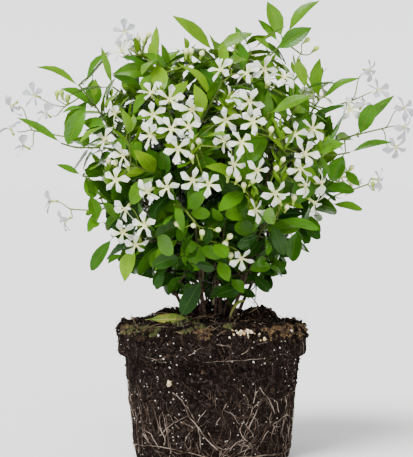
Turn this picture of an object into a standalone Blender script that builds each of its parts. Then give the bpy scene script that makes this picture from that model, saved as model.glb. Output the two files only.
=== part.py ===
"""Star jasmine shrub lifted out of its pot: a root ball that keeps the pot's shape, leafy stems
that stand in holes in it, sprays of white flowers on the stems, and roots round the outside.

Metres, +Z up. The origin is the middle of the root ball's flat base, and -Y is the front."""

import math
import random

import bmesh
import bpy
from mathutils import Matrix, Vector, noise
from mathutils.bvhtree import BVHTree

MM = 0.001
UP = Vector((0, 0, 1))
SEAT_GAP = 0.3 * MM
SHORTEST_EDGE = 0.45 * MM

# The root ball keeps the shape of a 17 cm nursery pot, with the pot's rim as a lip.
BALL_HEIGHT = 114 * MM
BASE_RADIUS = 68 * MM
NECK_RADIUS = 77 * MM
LIP_RADIUS = 83.5 * MM
LIP_HEIGHT = 24 * MM
MOUND_HEIGHT = 10 * MM
BALL_SIDES = 28

# The crown of leaves is an ellipsoid over the ball.
CROWN_CENTRE = Vector((0, 0, 262 * MM))
CROWN_RADII = Vector((120 * MM, 106 * MM, 113 * MM))

# Places of what shows from the front are read at the depth of the pot's axis, from this eye.
EYE = Vector((0, -1.40, 0.247))

# Leaves and flowers, as on the real plant.
LEAF_LENGTH = 40 * MM
LEAF_WIDTH = 19 * MM
LEAF_RIB = 1.3 * MM
PETIOLE = 5 * MM
INTERNODE = 23 * MM
FLOWER_RADIUS = 12.3 * MM
BUD_LENGTH = 9 * MM
SEED = 7


def start_scene():
    """Clears the scene and adds a collection for the plant and two for its working pieces."""
    for thing in list(bpy.data.objects):
        bpy.data.objects.remove(thing)
    made = {}
    for name in ("star_jasmine", "cutters", "pieces_to_join"):
        made[name] = bpy.data.collections.new(name)
        bpy.context.scene.collection.children.link(made[name])
    return made


def make_material(name, colour, roughness):
    material = bpy.data.materials.new(name)
    material.use_nodes = True
    shader = material.node_tree.nodes["Principled BSDF"]
    shader.inputs["Base Color"].default_value = (*colour, 1)
    shader.inputs["Roughness"].default_value = roughness
    shader.inputs["Metallic"].default_value = 0
    return material


collections = start_scene()
SOIL = make_material("soil", (0.028, 0.019, 0.014), 0.95)
ROOT = make_material("root", (0.50, 0.40, 0.28), 0.8)
LEAF = make_material("leaf", (0.06, 0.20, 0.02), 0.35)
PETAL = make_material("petal", (0.86, 0.87, 0.82), 0.5)
LITTER = make_material("litter", (0.45, 0.42, 0.08), 0.6)


# Closed bodies made as lofts between unlike sections


class Body:
    """Points and triangles of one closed solid."""

    def __init__(self):
        self.points = []
        self.triangles = []

    def ring(self, places):
        first = len(self.points)
        self.points.extend(places)
        return list(range(first, len(self.points)))

    def face(self, *corners):
        if len(set(corners)) == 3:
            self.triangles.append(corners)

    def skin(self, ring, after):
        """Two triangles between each side of one ring and the same side of the next."""
        for i in range(len(ring)):
            j = (i + 1) % len(ring)
            self.face(ring[i], ring[j], after[j])
            self.face(ring[i], after[j], after[i])

    def cap(self, ring):
        for i in range(1, len(ring) - 1):
            self.face(ring[0], ring[i + 1], ring[i])

    def object(self, name, collection):
        mesh = bpy.data.meshes.new(name)
        mesh.from_pydata(self.points, [], self.triangles)
        shaped = bmesh.new()
        shaped.from_mesh(mesh)
        bmesh.ops.recalc_face_normals(shaped, faces=shaped.faces)
        shaped.to_mesh(mesh)
        shaped.free()
        made = bpy.data.objects.new(name, mesh)
        collection.objects.link(made)
        return made

    def halo(self, margin):
        """The same body a little larger all round, to test that nothing else is that near."""
        normals = [Vector() for _ in self.points]
        middle = sum(self.points, Vector()) / len(self.points)
        for a, b, c in self.triangles:
            face = (self.points[b] - self.points[a]).cross(self.points[c] - self.points[a])
            for corner in (a, b, c):
                normals[corner] += face
        volume = sum((self.points[a] - middle).dot((self.points[b] - middle).cross(
            self.points[c] - middle)) for a, b, c in self.triangles)
        side = margin if volume > 0 else -margin
        grown = [p + n.normalized() * side for p, n in zip(self.points, normals)]
        return BVHTree.FromPolygons(grown, self.triangles)

    def tree(self):
        return BVHTree.FromPolygons(self.points, self.triangles)


def square_to(direction, hint):
    """A unit vector at a right angle to direction, as near to hint as can be."""
    left = hint - direction * hint.dot(direction)
    if left.length < 1e-6:
        left = direction.orthogonal()
    return left.normalized()


def circle(middle, axis, hint, radius, count, turn=0.0):
    first = square_to(axis, hint)
    second = axis.cross(first)
    angles = [turn + 2 * math.pi * k / count for k in range(count)]
    return [middle + (first * math.cos(a) + second * math.sin(a)) * radius for a in angles]


# Leaves

# Each station of a leaf is how far along its blade it lies, and its share of the half width.
LEAF_STATIONS = ((0.0, 0.10), (0.34, 0.95), (0.70, 0.85))
PLAIN_LEAF_STATIONS = ((0.30, 0.92), (0.68, 0.88))
PETIOLE_HALF_WIDTH = 0.55 * MM


def leaf_body(root, direction, face, length, width, droop, stations=LEAF_STATIONS, petiole=True):
    """A blade with a keel under its rib, which arches down along its length."""
    across = direction.cross(face).normalized()
    body = Body()
    place = root + direction * PETIOLE
    rings = []
    if petiole:
        side = across * PETIOLE_HALF_WIDTH
        start = root + direction * 0.3 * MM
        foot = [start + side, start - side, start - face * PETIOLE_HALF_WIDTH * 1.3]
        rings.append(body.ring(foot))
    reached = 0.0
    for along, half in stations:
        middle_bend = droop * (reached + along) / 2
        heading = direction * math.cos(middle_bend) - face * math.sin(middle_bend)
        place = place + heading * (along - reached) * length
        reached = along
        bend = droop * along
        up_side = face * math.cos(bend) + direction * math.sin(bend)
        side = across * half * width / 2
        rings.append(body.ring([place + side, place - side, place - up_side * LEAF_RIB]))
    last_bend = droop * (reached + 1) / 2
    heading = direction * math.cos(last_bend) - face * math.sin(last_bend)
    tip = body.ring([place + heading * (1 - reached) * length])[0]
    for ring, after in zip(rings, rings[1:]):
        body.skin(ring, after)
    body.skin(rings[-1], [tip, tip, tip])
    body.cap(rings[0])
    return body


# Flowers and buds

# The left and right corners of a petal lie at these angles from its middle, which sets its twist.
PETALS = 5
PETAL_LEFT = math.radians(16)
PETAL_RIGHT = math.radians(22)
NOTCH_RADIUS = 3.0 * MM
THROAT_RADIUS = 1.7 * MM
THROAT_DEPTH = 2.4 * MM
TUBE_LENGTH = 8 * MM
CALYX_RADIUS = 1.1 * MM
BUD_RADIUS = 2.3 * MM
STALK_RADIUS = 1.0 * MM
PEDICEL_RADIUS = 0.5 * MM


def stalk_rings(body, ring, path, radius):
    """Lofts on from a three-sided ring back along a path of points, and closes the end."""
    for k, place in enumerate(path):
        middle = sum((body.points[i] for i in ring), Vector()) / 3
        heading = (middle - path[min(k + 1, len(path) - 1)]).normalized()
        after = body.ring(circle(place, heading, body.points[ring[0]] - middle, radius, 3))
        body.skin(ring, after)
        ring = after
    body.cap(ring)


def flower_body(middle, axis, hint, stalk=None, stalk_radius=PEDICEL_RADIUS):
    """Five petals set like a pinwheel on a tube, with a stalk that runs on from the tube's foot."""
    first = square_to(axis, hint)
    second = axis.cross(first)

    def at(angle, radius, rise):
        return middle + (first * math.cos(angle) + second * math.sin(angle)) * radius + axis * rise

    step = 2 * math.pi / PETALS
    body = Body()
    centre = body.ring([middle - axis * 0.6 * MM])[0]
    notch = body.ring([at(step * k, NOTCH_RADIUS, 0) for k in range(PETALS)])
    left = body.ring([at(step * (k + 0.5) - PETAL_LEFT, FLOWER_RADIUS * 0.9, 0.9 * MM)
                      for k in range(PETALS)])
    right = body.ring([at(step * (k + 0.5) + PETAL_RIGHT, FLOWER_RADIUS, -0.6 * MM)
                       for k in range(PETALS)])
    throat = body.ring([at(step * k, THROAT_RADIUS, -THROAT_DEPTH) for k in range(PETALS)])
    for k in range(PETALS):
        n = (k + 1) % PETALS
        body.face(centre, notch[k], left[k])
        body.face(centre, left[k], right[k])
        body.face(centre, right[k], notch[n])
        body.face(throat[k], left[k], notch[k])
        body.face(throat[k], right[k], left[k])
        body.face(throat[k], throat[n], right[k])
        body.face(throat[n], notch[n], right[k])
    calyx = body.ring(circle(middle - axis * TUBE_LENGTH, axis, first, CALYX_RADIUS, 3))
    body.skin(throat, [calyx[0], calyx[0], calyx[1], calyx[2], calyx[2]])
    stalk_rings(body, calyx, stalk or [], stalk_radius)
    return body


def bud_body(tip, axis, stalk=None, stalk_radius=PEDICEL_RADIUS):
    """A closed flower: a plump spindle that runs on into its stalk."""
    body = Body()
    hint = axis.orthogonal()
    point = body.ring([tip])[0]
    waist = body.ring(circle(tip - axis * BUD_LENGTH * 0.38, axis, hint, BUD_RADIUS, 3))
    body.skin([point] * 3, waist)
    stalk_rings(body, waist, stalk or [tip - axis * BUD_LENGTH], stalk_radius)
    return body


# What is already in place, so that nothing crosses it


class Occupied:
    """The bodies placed so far, each with the name of the node that it belongs to."""

    def __init__(self):
        self.entries = []

    def add(self, owner, points, tree):
        middle = sum(points, Vector()) / len(points)
        reach = max((p - middle).length for p in points)
        self.entries.append((owner, middle, reach, tree))

    def clear(self, points, halo, only=None, skip=None):
        """Whether a body's halo touches nothing, or nothing of one owner, or of all but one."""
        middle = sum(points, Vector()) / len(points)
        reach = max((p - middle).length for p in points) + MM
        for owner, other_middle, other_reach, tree in self.entries:
            if only is not None and owner != only:
                continue
            if skip is not None and owner == skip:
                continue
            if (middle - other_middle).length < reach + other_reach and halo.overlap(tree):
                return False
        return True


occupied = Occupied()


# Tubes for stems, stalks and roots


def tube(name, points, radii, collection, resolution=0, closed=False):
    """A round-profile curve turned into a closed mesh."""
    curve = bpy.data.curves.new(name, "CURVE")
    curve.dimensions = "3D"
    curve.bevel_depth = 1
    curve.bevel_resolution = resolution
    curve.use_fill_caps = True
    spline = curve.splines.new("POLY")
    spline.points.add(len(points) - 1)
    for point, place, radius in zip(spline.points, points, radii):
        point.co = (*place, 1)
        point.radius = radius
    spline.use_cyclic_u = closed
    guide = bpy.data.objects.new(name, curve)
    collection.objects.link(guide)
    graph = bpy.context.evaluated_depsgraph_get()
    mesh = bpy.data.meshes.new_from_object(guide.evaluated_get(graph))
    bpy.data.objects.remove(guide)
    welded = bmesh.new()
    welded.from_mesh(mesh)
    bmesh.ops.remove_doubles(welded, verts=welded.verts, dist=1e-6)
    bmesh.ops.recalc_face_normals(welded, faces=welded.faces)
    welded.to_mesh(mesh)
    welded.free()
    made = bpy.data.objects.new(name, mesh)
    collection.objects.link(made)
    return made


def occupy_with(owner, made):
    """Takes up the room of a body that is already an object."""
    points = [v.co.copy() for v in made.data.vertices]
    faces = [tuple(p.vertices) for p in made.data.polygons]
    occupied.add(owner, points, BVHTree.FromPolygons(points, faces))


def would_flip(a, b, place):
    """Whether a triangle at a or b, but not at both, turns over when both move to a place."""
    for vertex in (a, b):
        for face in vertex.link_faces:
            if a in face.verts and b in face.verts:
                continue
            corners = [place if v is vertex else v.co for v in face.verts]
            normal = (corners[1] - corners[0]).cross(corners[2] - corners[0])
            if normal.length < 1e-9 or normal.normalized().dot(face.normal) < 0.3:
                return True
    return False


def shorten(mesh):
    """Closes up the short edges that a union leaves where bodies meet."""
    shape = bmesh.new()
    shape.from_mesh(mesh)
    bmesh.ops.triangulate(shape, faces=shape.faces)
    closed = True
    while closed:
        shape.normal_update()
        touched = set()
        closed = []
        short = [e for e in shape.edges if e.calc_length() < SHORTEST_EDGE]
        for edge in sorted(short, key=lambda e: e.calc_length()):
            a, b = edge.verts
            near_a = {e.other_vert(a) for e in a.link_edges}
            near_b = {e.other_vert(b) for e in b.link_edges}
            if touched & (near_a | near_b) or len(near_a & near_b) != 2:
                continue
            for share in (0.5, 0.0, 1.0):
                place = a.co.lerp(b.co, share)
                if not would_flip(a, b, place):
                    closed.append((a, b, place))
                    touched |= near_a | near_b
                    break
        for a, b, place in closed:
            bmesh.ops.pointmerge(shape, verts=[a, b], merge_co=place)
    shape.to_mesh(mesh)
    shape.free()


def fuse(name, pieces, material):
    """Joins a node's bodies into one solid, with a single union.

    The union is by MANIFOLD, because EXACT is slow where dozens of leaves cross one stem."""
    base = pieces[0]
    others = collections["pieces_to_join"]
    for piece in pieces:
        for home in list(piece.users_collection):
            home.objects.unlink(piece)
    collections["star_jasmine"].objects.link(base)
    for piece in pieces[1:]:
        others.objects.link(piece)
    join = base.modifiers.new("join", "BOOLEAN")
    join.operation = "UNION"
    join.operand_type = "COLLECTION"
    join.collection = others
    join.solver = "MANIFOLD"
    graph = bpy.context.evaluated_depsgraph_get()
    mesh = bpy.data.meshes.new_from_object(base.evaluated_get(graph))
    base.modifiers.clear()
    shorten(mesh)
    base.data = mesh
    for piece in list(others.objects):
        bpy.data.objects.remove(piece)
    return finish(base, name, material)


def finish(made, name, material):
    made.name = name
    made.data.name = name
    made.data.materials.clear()
    made.data.materials.append(material)
    return made


# Root ball

HUMPS_PER_METRE = 45
LUMPS_PER_METRE = 110
HUMP_HEIGHT = 5 * MM
LUMP_HEIGHT = 2 * MM
HOLE_DEPTH = 14 * MM
HOLE_SIDES = 8


def soil_top(x, y):
    """Height of the soil's uneven top, which is mounded and gets calmer towards the lip."""
    out = math.hypot(x, y) / LIP_RADIUS
    mound = MOUND_HEIGHT * max(0.0, 1 - out * out)
    humps = noise.noise(Vector((x, y, 0.5)) * HUMPS_PER_METRE) * HUMP_HEIGHT
    lumps = noise.noise(Vector((x, y, 3)) * LUMPS_PER_METRE) * LUMP_HEIGHT
    return BALL_HEIGHT + mound + (humps + lumps) * max(0.25, 1 - out ** 6)


def root_ball(holes):
    """A turned solid whose top is pushed up and down, with a plain hole for each stem."""
    edge = 1.2 * MM
    lip_foot = BALL_HEIGHT - LIP_HEIGHT
    wall_step = 1.2 * MM
    profile = [(0, BALL_HEIGHT)]
    top_rings = 5
    profile += [(LIP_RADIUS * 0.97 * k / top_rings, BALL_HEIGHT) for k in range(1, top_rings + 1)]
    profile += [
        (LIP_RADIUS, BALL_HEIGHT - 3 * edge),
        (LIP_RADIUS - wall_step / 2, lip_foot + edge),
        (LIP_RADIUS - 2 * edge, lip_foot),
        (NECK_RADIUS, lip_foot - edge),
        ((NECK_RADIUS + BASE_RADIUS) / 2, BALL_HEIGHT / 2.6),
        (BASE_RADIUS, 1.5 * edge),
        (BASE_RADIUS - edge, 0),
        (0, 0),
    ]
    mesh = bpy.data.meshes.new("root_ball")
    lines = [(k, k + 1) for k in range(len(profile) - 1)]
    mesh.from_pydata([(x, 0, z) for x, z in profile], lines, [])
    ball = bpy.data.objects.new("root_ball", mesh)
    collections["star_jasmine"].objects.link(ball)
    turn = ball.modifiers.new("turn", "SCREW")
    turn.steps = turn.render_steps = BALL_SIDES
    turn.use_merge_vertices = True
    turn.merge_threshold = 1e-5
    graph = bpy.context.evaluated_depsgraph_get()
    ball.data = bpy.data.meshes.new_from_object(ball.evaluated_get(graph))
    ball.modifiers.clear()
    for vertex in ball.data.vertices:
        if vertex.co.z > BALL_HEIGHT - edge:
            vertex.co.z = soil_top(vertex.co.x, vertex.co.y)
    for number, (foot, radius) in enumerate(holes):
        bore = (radius + SEAT_GAP) / math.cos(math.pi / HOLE_SIDES)
        bpy.ops.mesh.primitive_cylinder_add(vertices=HOLE_SIDES, radius=bore, depth=4 * HOLE_DEPTH)
        cutter = bpy.context.object
        cutter.name = f"stem_hole_{number}"
        cutter.location = (foot.x, foot.y, foot.z + HOLE_DEPTH)
        cutter.display_type = "WIRE"
        cutter.hide_render = True
        for home in list(cutter.users_collection):
            home.objects.unlink(cutter)
        collections["cutters"].objects.link(cutter)
    cut = ball.modifiers.new("stem_holes", "BOOLEAN")
    cut.operation = "DIFFERENCE"
    cut.operand_type = "COLLECTION"
    cut.collection = collections["cutters"]
    cut.solver = "EXACT"
    return finish(ball, "root_ball", SOIL)


# Stems: each leader stands in the soil, and leafy shoots branch from it towards their tips

LEADER_COUNT = 9
INNER_LEADERS = 3
LEADER_RADIUS = 1.6 * MM
OLD_LEADER_RADIUS = 2.0 * MM
SHOOT_RADIUS = 1.1 * MM
TWIG_RADIUS = 0.85 * MM
STEM_GAP = 4.5 * MM

# Shoots that make the plant's outline. Each has its tip as seen from the front, across and up
# in mm, its depth in mm, the turn of its leaf pairs in degrees, and the leaves that show there,
# as (across, up) of the leaf's root and of its tip.
OUTLINE_SHOOTS = [
    ((-133, 275), -20, 20, [((-133, 275), (-171, 297))]),
    ((-117, 326), 10, 60, [((-116, 308), (-127, 274)), ((-119, 326), (-155, 341)),
                           ((-114, 327), (-89, 355)), ((-105, 307), (-102, 332)),
                           ((-105, 307), (-133, 323))]),
    ((-53, 340), 0, 10, [((-53, 341), (-46, 370)), ((-54, 338), (-89, 352)),
                         ((-48, 334), (-27, 355)), ((-58, 322), (-88, 335))]),
    ((1, 357), -10, 0, [((-2, 354), (-35, 386)), ((3, 358), (35, 371)), ((7, 342), (35, 353))]),
    ((66, 372), 0, 0, [((63, 365), (48, 399)), ((69, 374), (95, 399)), ((61, 349), (87, 376)),
                       ((60, 361), (40, 383)), ((59, 347), (37, 367)), ((57, 334), (37, 354))]),
    ((94, 313), 10, 30, [((94, 313), (95, 350)), ((94, 313), (131, 332)), ((84, 290), (68, 331))]),
    ((129, 284), 0, 20, [((129, 284), (160, 316))]),
    ((121, 267), -30, 70, [((121, 267), (158, 275))]),
    ((98, 236), -10, 10, [((98, 236), (125, 232))]),
    ((104, 222), 25, 0, [((104, 222), (132, 216))]),
    ((81, 203), 0, 40, [((81, 203), (95, 191))]),
    ((-114, 246), -10, 30, [((-114, 246), (-137, 256)), ((-114, 246), (-105, 229))]),
    ((-98, 222), 5, 20, [((-98, 225), (-111, 212)), ((-96, 214), (-109, 197))]),
    ((-88, 193), -20, 50, [((-88, 193), (-106, 163))]),
    ((-69, 186), -40, 50, [((-69, 186), (-77, 153))]),
    ((-42, 168), -30, 10, [((-42, 168), (-49, 146))]),
    ((34, 160), -35, 0, []),
    ((-8, 156), -45, 30, [((-22, 150), (-28, 121))]),
    ((12, 160), 45, 0, []),
    ((-40, 168), 50, 30, []),
    ((52, 172), 40, 0, []),
]
FILL_COUNT = 40
FILL_TURN = 0.6
FILL_SPACING = 35 * MM


def seen_from_front(across, up, depth):
    """The place at a depth that looks from the eye as a place on the pot's axis plane does."""
    flat = Vector((across, 0, up))
    return EYE + (flat - EYE) * (1 + depth / -EYE.y)


def on_crown(azimuth, elevation, share):
    """The place this share of the way out from the crown's centre to its surface."""
    heading = Vector((math.cos(azimuth) * math.cos(elevation),
                      math.sin(azimuth) * math.cos(elevation), math.sin(elevation)))
    return CROWN_CENTRE + heading * CROWN_RADII * share


def bezier(a, b, c, d, steps):
    """Evenly timed points on the curve from a to d that b and c pull on."""
    places = []
    for k in range(steps + 1):
        t = k / steps
        left = 1 - t
        places.append(a * left ** 3 + b * 3 * t * left ** 2 + c * 3 * t * t * left + d * t ** 3)
    return places


def leader_path(number):
    """A leader's points, from the bottom of its hole to its tip."""
    inner = number < INNER_LEADERS
    count = INNER_LEADERS if inner else LEADER_COUNT - INNER_LEADERS
    azimuth = math.radians(80 if inner else 15) + 2 * math.pi * (number % count) / count
    out = Vector((math.cos(azimuth), math.sin(azimuth), 0))
    foot = out * (9 * MM if inner else 25 * MM)
    foot.z = soil_top(foot.x, foot.y)
    tip = on_crown(azimuth, math.radians(62 if inner else 12), 0.78)
    lean = (UP + out * (0.15 if inner else 0.55)).normalized()
    reach = (tip - foot).length
    start = foot + UP * 3 * MM
    last = (UP * 0.8 + out).normalized()
    curve = bezier(start, start + lean * reach * 0.45, tip - last * reach * 0.3, tip, 7)
    return [foot - UP * (HOLE_DEPTH - SEAT_GAP)] + curve


def fill_tips(taken):
    """Shoot tips spread evenly over the rest of the crown."""
    tips = []
    golden = math.pi * (3 - math.sqrt(5))
    for k in range(FILL_COUNT):
        height = 0.98 - 1.62 * (k + 0.5) / FILL_COUNT
        place = on_crown(golden * k + FILL_TURN, math.asin(height), 0.92)
        if min((place - other).length for other in taken) > FILL_SPACING:
            tips.append((place, math.degrees(golden * k), []))
    return tips


def shoot_tips():
    """Each shoot as (place of its tip, turn of its leaf pairs, leaves that show)."""
    outline = []
    for (across, up), depth, turn, shown in OUTLINE_SHOOTS:
        outline.append((seen_from_front(across * MM, up * MM, depth * MM), turn, shown))
    return outline + fill_tips([place for place, _, _ in outline])


def best_branch(tip, leaders, used):
    """The leader, and the point on it, that a shoot to this tip leaves with the least bend."""
    best = None
    easy_bend = math.radians(40)
    for number, path in enumerate(leaders):
        for k in range(3, len(path) - 1):
            along = (path[k + 1] - path[k - 1]).normalized()
            away = tip - path[k]
            cost = away.length * (1 + 0.8 * max(0, along.angle(away) - easy_bend))
            cost += 12 * MM * used.get((number, k), 0) + 5 * MM * used.get(number, 0)
            if away.length > 18 * MM and (best is None or cost < best[0]):
                best = (cost, number, k, along)
    return best[1:]


def shoot_path(start, along, tip, sway):
    """A shoot that leaves its leader forwards, swayed to one side, and turns up at its tip."""
    reach = (tip - start).length
    out = (tip - CROWN_CENTRE).normalized()
    onward = (tip - start).normalized()
    first = (along * 0.6 + onward * 0.6 + onward.cross(along) * sway).normalized()
    last = (out + UP * 0.45).normalized()
    return bezier(start, start + first * reach * 0.35, tip - last * reach * 0.3, tip, 4)


def gap_between(path, others):
    """The least distance from points along a path to the pieces of other paths."""
    least = 1.0
    for a, b in zip(path, path[1:]):
        for share in (0.0, 0.33, 0.67, 1.0):
            place = a.lerp(b, share)
            for other in others:
                for start, end in zip(other, other[1:]):
                    side = end - start
                    along = min(1, max(0, (place - start).dot(side) / side.length_squared))
                    least = min(least, (place - start - side * along).length)
    return least


def grow_stems():
    """Every stem as (points, radii, turn, leaves that show), grouped by its leader."""
    leaders = [leader_path(number) for number in range(LEADER_COUNT)]
    stems = []
    for number, path in enumerate(leaders):
        thick = LEADER_RADIUS if number else OLD_LEADER_RADIUS
        radii = [thick - (thick - SHOOT_RADIUS) * k / (len(path) - 1) for k in range(len(path))]
        stems.append([(path, radii, 40 * number, [])])
    used = {}
    for tip, turn, shown in shoot_tips():
        number, k, along = best_branch(tip, leaders, used)
        used[(number, k)] = used.get((number, k), 0) + 1
        used[number] = used.get(number, 0) + 1
        others = [stem[0] for other, group in enumerate(stems) if other != number for stem in group]
        best = (-1.0, None)
        for sway in (0.0, 0.3, -0.3, 0.6, -0.6, 0.9, -0.9):
            path = shoot_path(leaders[number][k], along, tip, sway)
            gap = min(gap_between(path, others), STEM_GAP)
            if gap > best[0]:
                best = (gap, path)
        gap, path = best
        if gap < STEM_GAP:
            print("stems near each other", number, gap / MM)
        start = min(SHOOT_RADIUS, 0.8 * stems[number][0][1][k])
        radii = [start - (start - TWIG_RADIUS) * j / (len(path) - 1) for j in range(len(path))]
        stems[number].append((path, radii, turn, shown))
    return stems


# Flower sprays: places of open flowers and of buds as seen from the front, across and up in mm

SPRAYS_AT_FRONT = [
    ([(-54, 320), (-37, 314), (-52, 300)], []),
    ([(-55, 282), (-36, 288), (-18, 304)], []),
    ([(-21, 290), (-30, 270)], [(-19, 266), (-10, 272), (-17, 258)]),
    ([(-95, 279), (-79, 264), (-86, 301)], []),
    ([(-85, 243)], [(-95, 254), (-87, 255), (-78, 252)]),
    ([(-57, 232), (-40, 236)], []),
    ([(-17, 242), (-3, 239)], []),
    ([(-77, 216), (-60, 203), (-79, 196), (-67, 185)], []),
    ([(16, 316), (33, 311), (12, 295), (36, 294)], []),
    ([(7, 340), (30, 337)], [(18, 344)]),
    ([(46, 340), (63, 334)], [(50, 326)]),
    ([(10, 277), (26, 276), (20, 256)], []),
    ([(40, 251), (39, 216)], [(13, 239), (23, 240), (29, 232), (36, 237)]),
    ([(56, 231)], [(63, 253), (56, 247), (70, 246)]),
    ([(73, 283), (89, 288), (82, 266)], [(48, 291), (42, 283), (55, 285)]),
    ([(78, 252), (83, 238), (97, 240), (91, 222)], []),
    ([], [(62, 221), (68, 213), (77, 219)]),
    ([(26, 173)], [(16, 186), (13, 179), (18, 166)]),
    ([], [(-30, 197), (-16, 197), (-8, 188), (2, 194)]),
    ([(139, 339), (146, 322), (134, 311), (121, 305)], []),
    ([(169, 306), (170, 289), (162, 271)], []),
    ([(147, 243), (139, 227)], [(150, 232)]),
    ([(-157, 317), (-147, 302)], [(-144, 315), (-138, 319), (-134, 312)]),
    ([(-177, 307), (-178, 289), (-167, 273)], []),
    ([(-143, 224), (-131, 206)], [(-134, 222)]),
    ([(-77, 373), (-80, 356)], [(-66, 367), (-61, 371)]),
    ([], [(-24, 353), (-18, 357), (-13, 352)]),
    ([], [(85, 366), (92, 362)]),
]
SPRAYS_BEHIND = 9
SEAT_STEP = 2.6


def crown_depth(across, up):
    """How far forward the crown's surface is where it is seen at this place."""
    side = across / CROWN_RADII.x
    rise = (up - CROWN_CENTRE.z) / CROWN_RADII.z
    left = 1 - side * side - rise * rise
    return -CROWN_RADII.y * math.sqrt(max(left, 0.0))


def front_spray(flowers, buds, draw):
    """Each bloom of a spray as (open or not, place, the way it faces)."""
    blooms = []
    for is_open, places in ((True, flowers), (False, buds)):
        for across, up in places:
            depth = crown_depth(across * MM, up * MM) - 7 * MM
            place = seen_from_front(across * MM, up * MM, depth)
            out = (place - CROWN_CENTRE).normalized()
            stray = Vector((draw.uniform(-1, 1), draw.uniform(-1, 1), draw.uniform(-1, 1)))
            facing = (out * 0.75 - Vector((0, 0.5, 0)) + stray * 0.3).normalized()
            blooms.append((is_open, place, facing))
    return blooms


def back_spray(number, draw):
    """Three flowers and two buds in a small dome on the crown's far side."""
    azimuth = math.radians(14 + 152 * ((number * 0.618) % 1))
    elevation = math.radians(-12 + 72 * (number + 0.5) / SPRAYS_BEHIND)
    middle = on_crown(azimuth, elevation, 1.07)
    out = (middle - CROWN_CENTRE).normalized()
    first = square_to(out, UP)
    second = out.cross(first)
    blooms = []
    for k in range(5):
        is_open = k < 3
        angle = draw.uniform(0, 0.5) + 2 * math.pi * k / 3
        spread = (14 if is_open else 7) * MM
        lift = 0 if is_open else 5 * MM
        place = middle + (first * math.cos(angle) + second * math.sin(angle)) * spread + out * lift
        facing = (out + (place - middle).normalized() * 0.5).normalized()
        blooms.append((is_open, place, facing))
    return blooms


def settle_blooms(blooms, owner, draw):
    """Moves each bloom in or out, and turns it, until its petals cross nothing."""
    settled = []
    for is_open, place, facing in blooms:
        for attempt in range(60):
            shift = (attempt % 7 - 2) * 4 * MM
            stray = Vector((draw.uniform(-1, 1), draw.uniform(-1, 1), draw.uniform(-1, 1)))
            axis = (facing + stray * 0.012 * attempt).normalized()
            away = (place - EYE).normalized() if place.y < 20 * MM else -facing
            moved = place - away * shift
            hint = Vector((draw.uniform(-1, 1), draw.uniform(-1, 1), draw.uniform(-1, 1)))
            body = flower_body(moved, axis, hint) if is_open else bud_body(moved, axis)
            if occupied.clear(body.points, body.halo(0.5 * MM)):
                occupied.add(owner, body.points, body.tree())
                settled.append((is_open, moved, axis, hint))
                break
        else:
            print("no room for a bloom of", owner)
    return settled


def fork_of(settled, depth):
    """Where a spray's main stalk ends, this far behind the middle of its blooms."""
    middle = sum((place for _, place, _, _ in settled), Vector()) / len(settled)
    axis = sum((axis for _, _, axis, _ in settled), Vector()).normalized()
    return middle - axis * depth


def stalk_path(host, along, radius, fork):
    """From the side of the stem that bears it, square off that stem, and round to the fork."""
    away = square_to(along, fork - host)
    start = host + away * (radius + SEAT_GAP)
    reach = (fork - start).length
    onward = (fork - start).normalized()
    return bezier(start, start + away * reach * 0.35, fork - onward * reach * 0.3, fork, 3)


def hosts_by_distance(fork, stems):
    """Points on the stems where a stalk could start, nearest first."""
    found = []
    for group in stems:
        for path, radii, _, _ in group:
            for k in range(2, len(path) - 1):
                for share in (0.0, 0.5):
                    host = path[k].lerp(path[k + 1], share)
                    radius = radii[k] + (radii[k + 1] - radii[k]) * share
                    along = (path[k + 1] - path[k]).normalized()
                    found.append(((host - fork).length, len(found), host, along, radius))
    return sorted(found, key=lambda entry: entry[:2])


def spray_bodies(settled, path):
    """The main stalk runs on into the bloom ahead of it, and the others sink into its end."""
    onward = (path[-1] - path[-2]).normalized()

    def turn_from_stalk(bloom):
        is_open, place, axis, _ = bloom
        foot = place - axis * (TUBE_LENGTH if is_open else BUD_LENGTH)
        return onward.angle(foot - path[-1])

    bodies = []
    for k, (is_open, place, axis, hint) in enumerate(sorted(settled, key=turn_from_stalk)):
        stalk = [place_along(path, (0.7 + SEAT_STEP * (k - 1)) * MM)[0]] if k else path[::-1]
        radius = STALK_RADIUS if k == 0 else PEDICEL_RADIUS
        if is_open:
            bodies.append(flower_body(place, axis, hint, stalk, radius))
        else:
            bodies.append(bud_body(place, axis, stalk, radius))
    return bodies


def flower_spray(name, settled, stems):
    """Grows a spray from the nearest point of a stem from which its stalks cross nothing."""
    fewest = None
    for depth in (17 * MM, 13 * MM, 22 * MM, 10 * MM):
        fork = fork_of(settled, depth)
        for distance, _, host, along, radius in hosts_by_distance(fork, stems):
            if distance < (5 + SEAT_STEP * len(settled)) * MM:
                continue
            if distance > 60 * MM or (fewest and fewest[0] == 0):
                break
            bodies = spray_bodies(settled, stalk_path(host, along, radius, fork))
            clear = [occupied.clear(b.points, b.halo(0.15 * MM), skip=name) for b in bodies]
            if fewest is None or clear.count(False) < fewest[0]:
                fewest = (clear.count(False), bodies)
    if fewest[0]:
        print(name, "crosses something", fewest[0])
    for body in fewest[1]:
        occupied.add(name, body.points, body.tree())
    home = collections["pieces_to_join"]
    fuse(name, [body.object(name, home) for body in fewest[1]], PETAL)


# Leaves, in pairs along each stem, the outermost pairs first

LEAF_RANKS = 4


def place_along(path, back):
    """The point and heading this far back from a stem's tip, or None past its lower half."""
    left = back
    for k in range(len(path) - 1, 0, -1):
        step = path[k] - path[k - 1]
        if left <= step.length:
            return path[k] - step.normalized() * left, step.normalized()
        left -= step.length
    return None


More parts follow.
